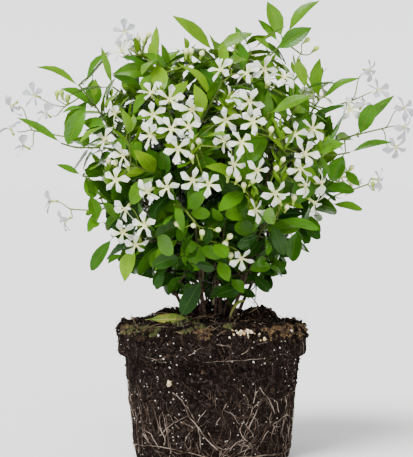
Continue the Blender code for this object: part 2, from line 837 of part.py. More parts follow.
def try_leaf(owner, root, heading, turn, rank, draw):
    """A leaf that points out from the stem, tried at other angles until it is clear."""
    out = (root - CROWN_CENTRE).normalized()
    around = square_to(heading, UP + out * 0.3)
    for attempt in range(30):
        stray = 0.035 * attempt
        spread = math.radians((36, 52, 62, 68)[rank]) + draw.uniform(-0.2, 0.2) - stray * 0.3
        swing = turn + draw.uniform(-0.25, 0.25) * (1 + attempt * 0.25)
        side = Matrix.Rotation(swing, 3, heading) @ around
        direction = (heading * math.cos(spread) + side * math.sin(spread)).normalized()
        stray_face = Vector((draw.uniform(-1, 1), draw.uniform(-1, 1), draw.uniform(-1, 1)))
        face = square_to(direction, out * 0.7 + UP * 0.6 + stray_face * (0.35 + stray))
        size = ((0.82, 1.0, 1.05, 1.0)[rank] * draw.uniform(0.88, 1.12)
                * (1 - 0.35 * attempt / 30))
        length = LEAF_LENGTH * size
        width = LEAF_WIDTH * size * draw.uniform(0.9, 1.12)
        droop = math.radians(draw.uniform(18, 60))
        blade = leaf_body(root, direction, face, length, width, droop, petiole=False)
        if not occupied.clear(blade.points, blade.halo(0.5 * MM), only=wood_of(owner)):
            continue
        stations = LEAF_STATIONS if rank < 2 else PLAIN_LEAF_STATIONS
        whole = leaf_body(root, direction, face, length, width, droop, stations)
        if occupied.clear(whole.points, whole.halo(0.5 * MM), skip=wood_of(owner)):
            return whole
    return None


def shown_leaf(owner, path, root_seen, tip_seen, draw):
    """A leaf whose root and tip look from the front as they do on the real plant."""
    depth = path[-1].y
    wanted = seen_from_front(root_seen[0] * MM, root_seen[1] * MM, depth)
    places = [a.lerp(b, k / 8) for a, b in zip(path, path[1:]) for k in range(9)]
    root = min(places[:-1], key=lambda place: (place - wanted).length)
    for attempt in range(40):
        depth = root.y + draw.uniform(-0.4, 0.4) * attempt * MM
        away = seen_from_front(tip_seen[0] * MM, tip_seen[1] * MM, depth) - root
        chord = away.normalized()
        stray = Vector((draw.uniform(-1, 1), draw.uniform(-1, 1), draw.uniform(-1, 1)))
        face = square_to(chord, Vector((0, -0.8, 0.6)) + stray * (0.3 + 0.02 * attempt))
        droop = math.radians(draw.uniform(12, 45))
        direction = chord * math.cos(droop / 2) + face * math.sin(droop / 2)
        face = square_to(direction, face)
        length = (away.length - PETIOLE) * 1.03
        width = length * draw.uniform(0.42, 0.52)
        blade = leaf_body(root, direction, face, length, width, droop, petiole=False)
        whole = leaf_body(root, direction, face, length, width, droop)
        if (occupied.clear(blade.points, blade.halo(0.5 * MM), only=wood_of(owner))
                and occupied.clear(whole.points, whole.halo(0.5 * MM), skip=wood_of(owner))):
            return whole
    print("no room for the leaf at", tip_seen)
    return None


def grow_leaves(stems, draw):
    """Every node's leaves. Pairs stand at right angles to those before and after them."""
    grown = [[] for _ in stems]
    for number, group in enumerate(stems):
        owner = stem_name(number)
        for path, _, _, shown in group:
            for root_seen, tip_seen in shown:
                leaf = shown_leaf(owner, path, root_seen, tip_seen, draw)
                if leaf is not None:
                    occupied.add(owner, leaf.points, leaf.tree())
                    grown[number].append(leaf)
    for rank in range(LEAF_RANKS):
        for number, group in enumerate(stems):
            owner = stem_name(number)
            for path, _, turn, shown in group:
                already_leafy = rank * 2 < len(shown)
                if already_leafy:
                    continue
                length = sum((b - a).length for a, b in zip(path, path[1:]))
                back = 1.5 * MM + INTERNODE * rank * (1 + 0.06 * rank)
                limit = 0.62 if path is group[0][0] else 0.86
                if back > length * limit:
                    continue
                root, heading = place_along(path, back)
                for side in (0, math.pi):
                    angle = math.radians(turn) + side + rank * math.pi / 2
                    leaf = try_leaf(owner, root, heading, angle, rank, draw)
                    if leaf is not None:
                        occupied.add(owner, leaf.points, leaf.tree())
                        grown[number].append(leaf)
    return grown


def stem_name(number):
    return f"leafy_stem_{number + 1}"


def wood_of(owner):
    return owner + " wood"


# Roots that wander over the outside of the ball and join where they circle its foot

ROOT_COUNT = 13


def surface_roots(draw):
    """A ring of root round the foot, and roots that climb from it, fused into one piece."""
    thickness = 0.65 * MM
    clear = SEAT_GAP + thickness + 0.2 * MM
    home = collections["pieces_to_join"]
    side = 2 * math.pi / BALL_SIDES

    def on_ball(angle, height):
        """A place just off the ball's wall, which is flat between its corners."""
        share = height / (BALL_HEIGHT - LIP_HEIGHT)
        flat = math.cos(side / 2) / math.cos(angle % side - side / 2)
        radius = (BASE_RADIUS + (NECK_RADIUS - BASE_RADIUS) * share) * flat + clear
        return Vector((math.cos(angle) * radius, math.sin(angle) * radius, height))

    def foot_height(angle):
        return (11 + 4 * math.sin(2 * angle) + 1.5 * math.sin(5 * angle)) * MM

    corners = [side * k for k in range(BALL_SIDES)]
    circling = [on_ball(angle, foot_height(angle)) for angle in corners]
    pieces = [tube("circling", circling, [thickness * 1.15] * BALL_SIDES, home, closed=True)]
    for number in range(ROOT_COUNT):
        angle = 2 * math.pi * (number + draw.uniform(-0.25, 0.25)) / ROOT_COUNT
        reach = draw.uniform(34, 72) * MM
        slant = draw.uniform(-0.3, 0.3)
        bends = 6
        path = []
        for k in range(bends + 1):
            share = k / bends
            wander = 0.06 * math.sin(share * 8 + number * 1.7)
            place = angle + slant * share + wander
            path.append(on_ball(place, foot_height(place) + reach * share))
        radii = [thickness * (1 - 0.4 * k / bends) for k in range(bends + 1)]
        pieces.append(tube(f"root_{number}", path, radii, home))
    return fuse("surface_roots", pieces, ROOT)


def fallen_leaf():
    """A yellowed leaf let down until it lies on the soil beside the stems."""
    start = Vector((-58 * MM, -34 * MM, BALL_HEIGHT + 25 * MM))
    heading = Vector((0.9, 0.1, 0.14)).normalized()
    face = square_to(heading, Vector((-0.1, -0.45, 1)))
    blade = leaf_body(start, heading, face, 36 * MM, 14 * MM, math.radians(20), petiole=False)
    step = Vector((0, 0, 0.1 * MM))
    while occupied.clear(blade.points, blade.halo(SEAT_GAP)):
        blade.points = [point - step for point in blade.points]
    blade.points = [point + step for point in blade.points]
    made = blade.object("fallen_leaf", collections["star_jasmine"])
    occupied.add("fallen_leaf", blade.points, blade.tree())
    return finish(made, "fallen_leaf", LITTER)


def build_plant():
    """Places everything in the order in which one thing makes room for the next."""
    draw = random.Random(SEED)
    stems = grow_stems()
    holes = [(group[0][0][0], group[0][1][0]) for group in stems]
    ball = root_ball(holes)
    occupy_with("root_ball", ball)
    fallen_leaf()
    surface_roots(draw)

    home = collections["pieces_to_join"]
    tubes = []
    for number, group in enumerate(stems):
        made = []
        for k, (path, radii, _, _) in enumerate(group):
            rounder = 1 if k == 0 else 0
            made.append(tube(f"stem_{number}_{k}", path, radii, home, resolution=rounder))
            occupy_with(wood_of(stem_name(number)), made[-1])
        tubes.append(made)

    sprays = []
    for flowers, buds in SPRAYS_AT_FRONT:
        sprays.append(front_spray(flowers, buds, draw))
    for number in range(SPRAYS_BEHIND):
        sprays.append(back_spray(number, draw))
    names = [f"flower_spray_{number + 1:02d}" for number in range(len(sprays))]
    settled = [settle_blooms(blooms, name, draw) for name, blooms in zip(names, sprays)]
    waiting = list(home.objects)
    for made in waiting:
        home.objects.unlink(made)
    for name, blooms in zip(names, settled):
        flower_spray(name, blooms, stems)
    for made in waiting:
        home.objects.link(made)

    leaves = grow_leaves(stems, draw)
    for number, group in enumerate(leaves):
        waiting = [o for o in home.objects if not o.name.startswith(f"stem_{number}_")]
        for made in waiting:
            home.objects.unlink(made)
        pieces = tubes[number] + [leaf.object("leaf", home) for leaf in group]
        fuse(stem_name(number), pieces, LEAF)
        for made in waiting:
            home.objects.link(made)
    print("leaves", sum(map(len, leaves)), "blooms", sum(map(len, settled)))


build_plant()
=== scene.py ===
import math
import random

import bmesh
import bpy
import numpy as np
from mathutils import Matrix, Vector, kdtree, noise
from mathutils.bvhtree import BVHTree


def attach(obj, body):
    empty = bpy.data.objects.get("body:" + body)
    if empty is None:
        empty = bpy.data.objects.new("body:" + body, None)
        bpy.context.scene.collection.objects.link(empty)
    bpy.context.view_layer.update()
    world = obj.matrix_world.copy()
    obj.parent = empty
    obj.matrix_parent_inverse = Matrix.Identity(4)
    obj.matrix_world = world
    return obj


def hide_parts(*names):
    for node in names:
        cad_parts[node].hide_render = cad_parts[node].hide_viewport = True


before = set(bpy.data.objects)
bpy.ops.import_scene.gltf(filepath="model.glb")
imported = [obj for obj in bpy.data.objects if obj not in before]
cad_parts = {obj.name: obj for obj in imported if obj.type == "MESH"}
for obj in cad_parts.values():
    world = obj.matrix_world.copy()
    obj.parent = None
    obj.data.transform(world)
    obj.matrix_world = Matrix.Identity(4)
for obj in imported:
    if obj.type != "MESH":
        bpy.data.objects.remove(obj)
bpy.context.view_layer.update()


# The stand. A plain white table under a soft light from above and a little to the left, with
# white walls all round that fill the shadows. A long lens looks from just above the leaves' middle.

EYE = Vector((0, -1.40, 0.247))
AIM = Vector((-0.005, 0, 0.200))
LENS = 125.3
LAMP_AIM = Vector((0, 0, 0.2))
TABLE_SIZE = 60
WALL_LIGHT = 2.3
CEILING_LIGHT = 0.75
SOFT_LIGHTS = [  # name, where it shines from, how wide it looks in degrees, and its strength
    ("light_above", (-0.6, -0.8, 1.6), 28, 5.9),
    ("light_front", (0.5, -1.5, 0.5), 40, 1.2),
]

camera_data = bpy.data.cameras.new("camera")
camera_data.lens = LENS
camera_data.sensor_width = 36
camera = bpy.data.objects.new("camera", camera_data)
camera.location = EYE
camera.rotation_euler = (AIM - EYE).to_track_quat("-Z", "Y").to_euler()
bpy.context.scene.collection.objects.link(camera)
bpy.context.scene.camera = camera


class Wire:
    """A socket of a material, so that sums on what it carries read as plain Python."""

    def __init__(self, tree, socket):
        self.tree = tree
        self.socket = socket

    def node(self, kind, settings=None, sockets=None, output=0):
        """Adds a node, sets it up, then gives its sockets their values or links."""
        made = self.tree.nodes.new("ShaderNode" + kind)
        for name, value in (settings or {}).items():
            setattr(made, name, value)
        for name, value in (sockets or {}).items():
            if isinstance(value, Wire):
                self.tree.links.new(value.socket, made.inputs[name])
            else:
                made.inputs[name].default_value = value
        return Wire(self.tree, made.outputs[output])

    def sum(self, operation, *values):
        return self.node("Math", {"operation": operation}, dict(enumerate(values)))

    def __add__(self, other):
        return self.sum("ADD", self, other)

    def __sub__(self, other):
        return self.sum("SUBTRACT", self, other)

    def __rsub__(self, other):
        return self.sum("SUBTRACT", other, self)

    def __mul__(self, other):
        return self.sum("MULTIPLY", self, other)

    def __pow__(self, other):
        return self.sum("POWER", self, other)

    def __gt__(self, other):
        return self.sum("GREATER_THAN", self, other)

    def __lt__(self, other):
        return self.sum("LESS_THAN", self, other)

    __radd__ = __add__

    def size(self):
        return self.sum("ABSOLUTE", self)

    def height(self):
        return self.node("SeparateXYZ", None, {0: self}, output=2)

    def between(self, low, high):
        """0 where this is low, 1 where it is high, and smooth from one to the other."""
        return self.node("MapRange", {"interpolation_type": "SMOOTHSTEP"},
                         {"Value": self, "From Min": low, "From Max": high})

    def blend(self, first, second):
        """The first colour where this is 0 and the second where it is 1."""
        first = first if isinstance(first, Wire) else (*first, 1)
        second = second if isinstance(second, Wire) else (*second, 1)
        return self.node("Mix", {"data_type": "RGBA"}, {0: self, 6: first, 7: second}, output=2)

    def grain(self, scale, detail=3.0, rough=0.55):
        return self.node("TexNoise", None, {
            "Vector": self, "Scale": scale, "Detail": detail, "Roughness": rough})

    def cells(self, scale, output=0):
        """How far the nearest cell's middle is, or with output 1 the cell's own colour."""
        return self.node("TexVoronoi", None, {"Vector": self, "Scale": scale}, output=output)

    def cell_draw(self, scale, channel=0):
        """A number from 0 to 1 for each cell, drawn anew with each channel."""
        colour = self.cells(scale, output=1)
        return self.node("SeparateColor", None, {"Color": colour}, output=channel)


class Finish:
    """A material in the making: its shader, the surface's own places, and what feeds it."""

    def __init__(self, name, **sockets):
        self.material = bpy.data.materials.new(name)
        self.material.use_nodes = True
        self.tree = self.material.node_tree
        self.shader = self.tree.nodes["Principled BSDF"]
        for socket, value in sockets.items():
            self.shader.inputs[socket.replace("_", " ")].default_value = value
        coordinates = self.tree.nodes.new("ShaderNodeTexCoord")
        self.place = Wire(self.tree, coordinates.outputs["Object"])

    def attribute(self, name):
        return self.place.node("Attribute", {"attribute_name": name}, output=2)

    def feed(self, socket, wire):
        self.tree.links.new(wire.socket, self.shader.inputs[socket])

    def bump(self, height, depth, strength=1.0):
        self.feed("Normal", self.place.node("Bump", None, {
            "Height": height, "Distance": depth, "Strength": strength}))


table_finish = Finish("white_table", Roughness=0.6, Specular_IOR_Level=0.2)
dust = table_finish.place.grain(9)
table_finish.feed("Base Color", dust.blend((0.93, 0.93, 0.93), (0.96, 0.96, 0.96)))
bpy.ops.mesh.primitive_plane_add(size=TABLE_SIZE)
table = bpy.context.object
table.name = "table"
table.data.materials.append(table_finish.material)

world = bpy.data.worlds.new("white_walls")
world.use_nodes = True
walls = Wire(world.node_tree, world.node_tree.nodes.new("ShaderNodeTexCoord").outputs["Generated"])
steepness = walls.height().size().between(0.05, 0.5)
white = steepness.blend((WALL_LIGHT,) * 3, (CEILING_LIGHT,) * 3)
world.node_tree.links.new(white.socket, world.node_tree.nodes["Background"].inputs["Color"])
bpy.context.scene.world = world

for name, place, spread, strength in SOFT_LIGHTS:
    light = bpy.data.lights.new(name, "SUN")
    light.angle = math.radians(spread)
    light.energy = strength
    lamp = bpy.data.objects.new(name, light)
    lamp.location = place
    lamp.rotation_euler = (LAMP_AIM - lamp.location).to_track_quat("-Z", "Y").to_euler()
    bpy.context.scene.collection.objects.link(lamp)


# The root ball. Dark peat with crumbs and fibres in it, bound by roots and pressed to the shape of
# the pot that it was lifted from. Its top was never pressed, so it is loose, lumpy and higher.

MM = 0.001
BALL_HEIGHT = 114 * MM
NECK_RADIUS = 77 * MM
LIP_RADIUS = 83.5 * MM
LIP_HEIGHT = 24 * MM
SOIL_GRID = 1.15 * MM
LOOSE_FROM = 101 * MM
LOOSE_BAND = 10 * MM
WALL_LOOSENESS = 0.4

# Loose lumps on top: where each lies across, deep and up, and its radius, in mm.
LUMP_SHAPE = (1.35, 1.25, 0.75)
LUMPS = [((-40, 2, 122), 9), ((-51, -3, 117), 9), ((-28, 28, 117), 13), ((4, 34, 123), 14),
         ((42, 2, 124), 9), ((28, -2, 120), 9), ((35, 0, 122), 9), ((47, 40, 111), 12),
         ((-4, 8, 121), 14), ((18, -30, 112), 11), ((-24, -34, 111), 9), ((-60, 24, 109), 10),
         ((8, 58, 109), 12), ((62, 22, 108), 9), ((-12, -58, 108), 8), ((40, -48, 107), 9),
         ((-44, -52, 107), 8), ((-74, -8, 114), 7), ((-70, -20, 111), 7), ((70, 2, 113), 8),
         ((77, -10, 107), 6), ((56, -34, 108), 8), ((-6, -70, 107), 7), ((66, -30, 107), 7),
         ((-30, -71, 106), 7), ((12, -74, 107), 6), ((32, -70, 108), 6), ((-50, -60, 108), 7),
         ((0, -46, 112), 7), ((48, -58, 107), 6), ((-60, -46, 109), 6), ((24, -52, 111), 6)]

# Each texture of the soil: its kind, the size of its lumps, and how high it lifts them.
SOIL_RELIEF = [("CLOUDS", 15 * MM, 2.6 * MM), ("VORONOI", 5 * MM, -1.6 * MM),
               ("CLOUDS", 3.0 * MM, 2.2 * MM), ("VORONOI", 2.4 * MM, -1.5 * MM)]


def pick(*things):
    """Leaves just these selected, and the first of them active."""
    bpy.ops.object.select_all(action="DESELECT")
    for thing in things:
        thing.select_set(True)
    bpy.context.view_layer.objects.active = things[0]


def joined(things):
    """One object of these: the first, with the others in it."""
    pick(*things)
    if len(things) > 1:
        bpy.ops.object.join()
    return things[0]


def apply_places(things):
    """Takes each one's place, turn and size up into its mesh, so that its origin is the world's."""
    pick(*things)
    bpy.ops.object.transform_apply(location=True, rotation=True, scale=True)


def paint(thing, *finishes):
    thing.data.materials.clear()
    for finish in finishes:
        thing.data.materials.append(finish.material)


def edit(thing, *steps):
    """Runs steps on all of a mesh in edit mode."""
    pick(thing)
    bpy.ops.object.mode_set(mode="EDIT")
    bpy.ops.mesh.select_all(action="SELECT")
    for step in steps:
        step()
    bpy.ops.object.mode_set(mode="OBJECT")


def merge_doubles(gap=1e-6):
    bpy.ops.mesh.remove_doubles(threshold=gap)


def face_outwards():
    bpy.ops.mesh.normals_make_consistent(inside=False)


def apply_modifiers(thing):
    pick(thing)
    for modifier in list(thing.modifiers):
        bpy.ops.object.modifier_apply(modifier=modifier.name)


def copy_of_node(name):
    """A CAD node's shape as a mesh of its own, with its loose triangles merged."""
    thing = bpy.data.objects.new(name + "_shape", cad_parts[name].data.copy())
    bpy.context.scene.collection.objects.link(thing)
    thing.data.materials.clear()
    edit(thing, merge_doubles)
    return thing


def hand_over(piece, name, finish, slot, *nodes):
    """Names a piece, gives it its finish unless it has its own, and hides the CAD nodes that it stands
    for.
    """
    piece.name = name
    piece.data.name = name
    if finish is not None:
        paint(piece, finish)
    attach(piece, "root")
    if nodes:
        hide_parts(*nodes)


soil = copy_of_node("root_ball")
lumps = [soil]
for (across, deep, up), radius in LUMPS:
    bpy.ops.mesh.primitive_ico_sphere_add(
        subdivisions=3, radius=radius * MM, location=(across * MM, deep * MM, up * MM),
        scale=LUMP_SHAPE)
    lumps.append(bpy.context.object)
apply_places(lumps)
joined(lumps)
cast = soil.modifiers.new("cast", "REMESH")
cast.mode = "VOXEL"
cast.voxel_size = SOIL_GRID
apply_modifiers(soil)
loose = soil.vertex_groups.new(name="loose")
for vertex in soil.data.vertices:
    over_rim = min(1, max(0, (vertex.co.z - LOOSE_FROM) / LOOSE_BAND))
    loose.add([vertex.index], WALL_LOOSENESS + (1 - WALL_LOOSENESS) * over_rim, "REPLACE")
for number, (kind, size, lift) in enumerate(SOIL_RELIEF):
    texture = bpy.data.textures.new(f"soil_{number}", kind)
    texture.noise_scale = size
    relief = soil.modifiers.new(f"relief_{number}", "DISPLACE")
    relief.texture = texture
    relief.vertex_group = loose.name
    relief.texture_coords = "LOCAL"
    relief.strength = lift
    relief.mid_level = 0.5
apply_modifiers(soil)
bpy.ops.object.shade_smooth()

soil_finish = Finish("peat", Roughness=0.95, Specular_IOR_Level=0.02)
place = soil_finish.place
patches = place.grain(38, 4)
dark = patches.between(0.35, 0.65).blend((0.0035, 0.0024, 0.0020), (0.011, 0.0070, 0.0055))
# The dark and brown cells a couple of mm across, and the darkest fine specks, are partly the peat's own
# mixed tone and partly painted shade: they stand in for the shade in crevices that the bump doesn't
# cast.
brown = (place.cell_draw(430) ** 3.0).blend(dark, (0.042, 0.030, 0.025))
fibre = place.node("TexNoise", None, {
    "Vector": place, "Scale": 620.0, "Detail": 2.0, "Distortion": 3.0})
colour = fibre.between(0.60, 0.70).blend(brown, (0.078, 0.057, 0.047))
colour = place.grain(900, 3).between(0.40, 0.56).blend((0.003, 0.002, 0.0018), colour)
speck = (place.cell_draw(420, channel=1) > 0.95) * (place.cells(420) < 0.26)
colour = speck.blend(colour, (0.42, 0.39, 0.34))
soil_finish.feed("Base Color", colour)
soil_finish.bump(place.grain(900, 5, 0.7) + fibre * 0.6, 1.1 * MM)
hand_over(soil, "peat_ball", soil_finish, "soil", "root_ball")

soil_tree = BVHTree.FromPolygons([v.co for v in soil.data.vertices],
                                 [tuple(p.vertices) for p in soil.data.polygons])


# Grains in the peat. White perlite was mixed into it, crumbs of peat and bark have come loose on
# it, and a handful of cream and orange grit lies at the front right of its rim. One pebble of the
# same kind is stuck in the wall at the left.

UP = Vector((0, 0, 1))
HALF_TURN = 3.14
FULL_TURN = 6.283
PERLITE_COUNT = 270
CRUMB_COUNT = 2800
BIG_GRAIN = 0.7 * MM
BIG_GRAIN_SINK = 0.55
KNOBS = 1.7
GRIT_TRIES = 46
GRIT_PLACE = (31, -77)  # across and deep in mm
PEBBLE = (-37.0, 63.0)  # across and up in mm as seen from the front
PEBBLE_RADII = np.array([2.1, 1.9, 2.3]) * MM
OVER_SOIL = 170 * MM


def join_copies(name, template, shapes, numbers=None):
    """One object made of a copy of the template for each array of places for its points.

    numbers holds, for an attribute of the points, one value for each copy."""
    copies = []
    for k, points in enumerate(shapes):
        mesh = template.data.copy()
        mesh.vertices.foreach_set("co", np.asarray(points, float).ravel())
        for attribute, values in (numbers or {}).items():
            made = mesh.attributes.new(attribute, "FLOAT", "POINT")
            made.data.foreach_set("value", [values[k]] * len(mesh.vertices))
        copy = bpy.data.objects.new(name, mesh)
        bpy.context.scene.collection.objects.link(copy)
        copies.append(copy)
    return joined(copies)


def points_of(thing):
    """A mesh's points as an array, one row for each."""
    places = np.empty(len(thing.data.vertices) * 3)
    thing.data.vertices.foreach_get("co", places)
    return places.reshape(-1, 3)


def seen_from_front(across, up, depth):
    """The place at a depth that looks from the eye as a place on the ball's axis plane does."""
    flat = Vector((across, 0, up))
    return EYE + (flat - EYE) * (1 + depth / -EYE.y)


def on_ball(across, up):
    """Where the ball shows this place, in mm across and up from the front, and which way it faces."""
    heading = (Vector((across * MM, 0, up * MM)) - EYE).normalized()
    return soil_tree.ray_cast(EYE, heading)[:2]


def soil_below(across, deep):
    """The soil's top at this place, and which way it faces, or None twice beside the ball."""
    return soil_tree.ray_cast(Vector((across, deep, OVER_SOIL)), -UP)[:2]


def turned_at_random(draw):
    spin = Matrix.Rotation(draw.uniform(0, FULL_TURN), 3, "Z")
    tip = Matrix.Rotation(draw.uniform(0, HALF_TURN), 3, "X")
    return np.array(spin @ tip @ Matrix.Rotation(draw.uniform(0, FULL_TURN), 3, "Y"))


def rough_grain(name, sides, rings, roughness, seed):
    """A small knobbly lump of a few dozen faces."""
    bpy.ops.mesh.primitive_uv_sphere_add(segments=sides, ring_count=rings, radius=1)
    grain = bpy.context.object
    grain.name = name
    for vertex in grain.data.vertices:
        vertex.co *= 1 + roughness * noise.noise(vertex.co * KNOBS + Vector((seed, 0, 0)))
    bpy.ops.object.shade_smooth()
    return grain


def scatter(name, template, count, least, spread, foot, line, odds_below, draw):
    """Sets grains into the peat: most are small, and few of them are as big as least + spread, in mm.

    None lies below foot, and below line only a share of them, odds_below, is kept."""
    flat = points_of(template)
    faces = soil.data.polygons
    shapes, shades = [], []
    while len(shapes) < count:
        face = faces[draw.randrange(len(faces))]
        up = face.center.z
        if up < foot or draw.random() >= (1.0 if up > line else odds_below):
            continue
        size = (least + spread * draw.random() ** 4) * MM
        stretch = np.array([draw.uniform(0.8, 1.3), draw.uniform(0.75, 1.1), draw.uniform(0.6, 1)])
        seat = draw.uniform(0.1, 0.5)
        if up < LOOSE_FROM and size > BIG_GRAIN:
            seat -= BIG_GRAIN_SINK
        middle = face.center + face.normal * size * seat
        shapes.append((flat * stretch) @ turned_at_random(draw).T * size + np.array(middle))
        shades.append(draw.random())
    made = join_copies(name, template, shapes, {"shade": shades})
    bpy.data.objects.remove(template)
    return made


draw = random.Random(11)
perlite = scatter("perlite", rough_grain("grain", 7, 5, 0.5, 3), PERLITE_COUNT, 0.32, 1.0,
                  3 * MM, 56 * MM, 0.16, draw)
perlite_finish = Finish("perlite", Roughness=0.8)
shade = perlite_finish.attribute("shade")
pits = perlite_finish.place.cells(1400)
chalk = shade.blend((0.50, 0.46, 0.40), (0.86, 0.85, 0.82))
perlite_finish.feed("Base Color", pits.between(0.0, 0.5).blend((0.34, 0.30, 0.26), chalk))
perlite_finish.bump(pits, 0.3 * MM)
hand_over(perlite, "perlite_grains", perlite_finish, "soil")

crumbs = scatter("crumbs", rough_grain("grain", 6, 4, 0.9, 8), CRUMB_COUNT, 0.5, 2.1,
                 4 * MM, BALL_HEIGHT - 9 * MM, 0.22, draw)
crumb_finish = Finish("crumbs", Roughness=0.95, Specular_IOR_Level=0.02)
shade = crumb_finish.attribute("shade")
dark = (shade ** 4.0).blend((0.0045, 0.003, 0.0024), (0.070, 0.043, 0.027))
crumb_finish.feed("Base Color", crumb_finish.place.grain(700).between(0.4, 0.7).blend(
    dark, (0.010, 0.007, 0.0055)))
crumb_finish.bump(crumb_finish.place.grain(1500, 4), 0.4 * MM)
hand_over(crumbs, "peat_crumbs", crumb_finish, "soil")

grit_template = rough_grain("grain", 7, 5, 1.1, 5)
flat = points_of(grit_template)
shapes, shades = [], []
for _ in range(GRIT_TRIES):
    across = GRIT_PLACE[0] + draw.gauss(0, 6.5)
    deep = GRIT_PLACE[1] + draw.gauss(0, 3.4)
    seat = soil_below(across * MM, deep * MM)[0]
    if seat is None or seat.z < BALL_HEIGHT - LIP_HEIGHT:
        continue
    size = draw.uniform(0.7, 1.9) * MM
    stretch = np.array([draw.uniform(0.9, 1.5), 1, draw.uniform(0.6, 0.9)])
    middle = np.array(seat + UP * size * 0.55)
    shapes.append((flat * stretch) @ turned_at_random(draw).T * size + middle)
    shades.append(draw.random())
seat, normal = on_ball(*PEBBLE)
shapes.append(flat * PEBBLE_RADII + np.array(seat + normal * 0.7 * MM))
shades.append(0.0)
grit = join_copies("grit", grit_template, shapes, {"shade": shades})
bpy.data.objects.remove(grit_template)
grit_finish = Finish("grit", Roughness=0.6)
warm = grit_finish.attribute("shade").blend((0.44, 0.31, 0.13), (0.30, 0.15, 0.035))
stain = grit_finish.place.grain(420, 3)
grit_finish.feed("Base Color", stain.between(0.42, 0.56).blend((0.84, 0.76, 0.55), warm))
grit_finish.bump(grit_finish.place.grain(1500, 3), 0.3 * MM)
hand_over(grit, "grit_grains", grit_finish, "soil")


# The roots on the ball. Thick ones circle its foot and climb its wall where the pot turned them
# back, and a web of finer ones wanders between them, pale where they are young and brown where old.

FINE_ROOT_COUNT = 130
LIP_ROOT_COUNT = 26
HAIR_COUNT = 420
ROOT_STEP = 2.4 * MM
ROOT_TAPER = 0.65
FORK_ODDS = 0.085
THINNEST_TO_FORK = 0.22 * MM
MAIN_ROOT_WANDER = 1.6 * MM
MAIN_ROOT_SINK = 0.5 * MM

# The palest roots at the front: radius in mm, then places across and up as seen from there.
PALE_ROOTS = [
    (0.62, (-35, 55), (-28, 50), (-23, 42), (-20, 33), (-13, 25), (-7, 16), (-1, 9), (6, 3)),
    (0.5, (-13, 25), (-11, 14), (-10, 2)), (0.42, (-22, 34), (-30, 30), (-38, 25), (-45, 18), (-48, 14)),
    (0.6, (42, 60), (46, 53), (51, 47), (54, 40), (56, 34)), (0.62, (7, 33), (4, 27), (1, 23)),
    (0.45, (11, 39), (18, 36), (21, 31), (25, 25)), (0.5, (40, 40), (36, 32), (31, 20)),
    (0.5, (15, 3), (21, 10), (31, 14)), (0.45, (49, 21), (43, 11), (38, 2)),
    (0.5, (-65, 25), (-54, 18), (-49, 9), (-46, 3)), (0.4, (-66, 47), (-63, 36), (-60, 25), (-58, 10)),
    (0.35, (67, 54), (65, 42), (63, 31), (60, 14)), (0.35, (-6, 39), (-11, 33), (-14, 27)),
    (0.28, (-5, 82), (12, 83), (29, 84), (47, 85)), (0.35, (-58, 86), (-53, 85), (-46, 82), (-39, 82)),
]


def on_circle(angle, radius, height=0.0):
    """A place round the plant's axis."""
    return Vector((math.cos(angle) * radius, math.sin(angle) * radius, height))


def round_off(thing):
    rounded = thing.modifiers.new("rounded", "SUBSURF")
    rounded.levels = rounded.render_levels = 1


def tubes(name, lines, sides=1):
    """Round closed tubes along lines of (points, radii), as one mesh."""
    curve = bpy.data.curves.new(name, "CURVE")
    curve.dimensions = "3D"
    curve.bevel_depth = 1
    curve.bevel_resolution = sides
    curve.use_fill_caps = True
    for points, radii in lines:
        spline = curve.splines.new("POLY")
        spline.points.add(len(points) - 1)
        for point, place, radius in zip(spline.points, points, radii):
            point.co = (*place, 1)
            point.radius = radius
    made = bpy.data.objects.new(name, curve)
    bpy.context.scene.collection.objects.link(made)
    pick(made)
    bpy.ops.object.convert(target="MESH")
    made = bpy.context.object
    edit(made, merge_doubles, face_outwards)
    bpy.ops.object.shade_smooth()
    return made


def root_line(start, heading, length, radius, draw, lines):
    """A root that feels its way over the peat, and now and then sends out a finer one."""
    place = start
    count = max(3, round(length / ROOT_STEP))
    points, radii = [], []
    drift = draw.uniform(-0.08, 0.08)
    for k in range(count + 1):
        seat, normal, _, _ = soil_tree.find_nearest(place)
        width = radius * (1 - ROOT_TAPER * k / count)
        points.append(seat + normal * width * draw.uniform(0.1, 0.7))
        radii.append(width)
        drift = drift * 0.45 + draw.uniform(-0.30, 0.30)
        heading = Matrix.Rotation(drift, 3, normal) @ heading
        heading = (heading - normal * heading.dot(normal)).normalized()
        place = seat + heading * ROOT_STEP
        if radius > THINNEST_TO_FORK and k > 1 and draw.random() < FORK_ODDS:
            fork = Matrix.Rotation(draw.choice((-1, 1)) * draw.uniform(0.5, 1.1), 3, normal)
            root_line(place, fork @ heading, length * draw.uniform(0.3, 0.6), width * 0.7,
                      draw, lines)
    lines.append((points, radii))


draw = random.Random(23)
root_lines = []
for k in range(FINE_ROOT_COUNT):
    angle = 2 * math.pi * (k + draw.random()) / FINE_ROOT_COUNT
    height = (2 + 44 * draw.random() ** 1.4) * MM
    start = on_circle(angle, NECK_RADIUS, height)
    side = Vector((-math.sin(angle), math.cos(angle), 0))
    heading = (UP * draw.choice((1, -1)) + side * draw.gauss(0, 0.8)).normalized()
    radius = draw.choice((0.15, 0.18, 0.22, 0.3, 0.45)) * MM
    root_line(start, heading, draw.uniform(16, 52) * MM, radius, draw, root_lines)
for k in range(LIP_ROOT_COUNT):
    angle = 2 * math.pi * (k + draw.random()) / LIP_ROOT_COUNT
    start = on_circle(angle, 1) * LIP_RADIUS
    start.z = BALL_HEIGHT - draw.uniform(3, LIP_HEIGHT / MM) * MM
    side = Vector((-math.sin(angle), math.cos(angle), draw.uniform(-0.3, 0.3)))
    root_line(start, side.normalized(), draw.uniform(12, 34) * MM, 0.3 * MM, draw, root_lines)
fine_roots = tubes("fine_roots", root_lines)

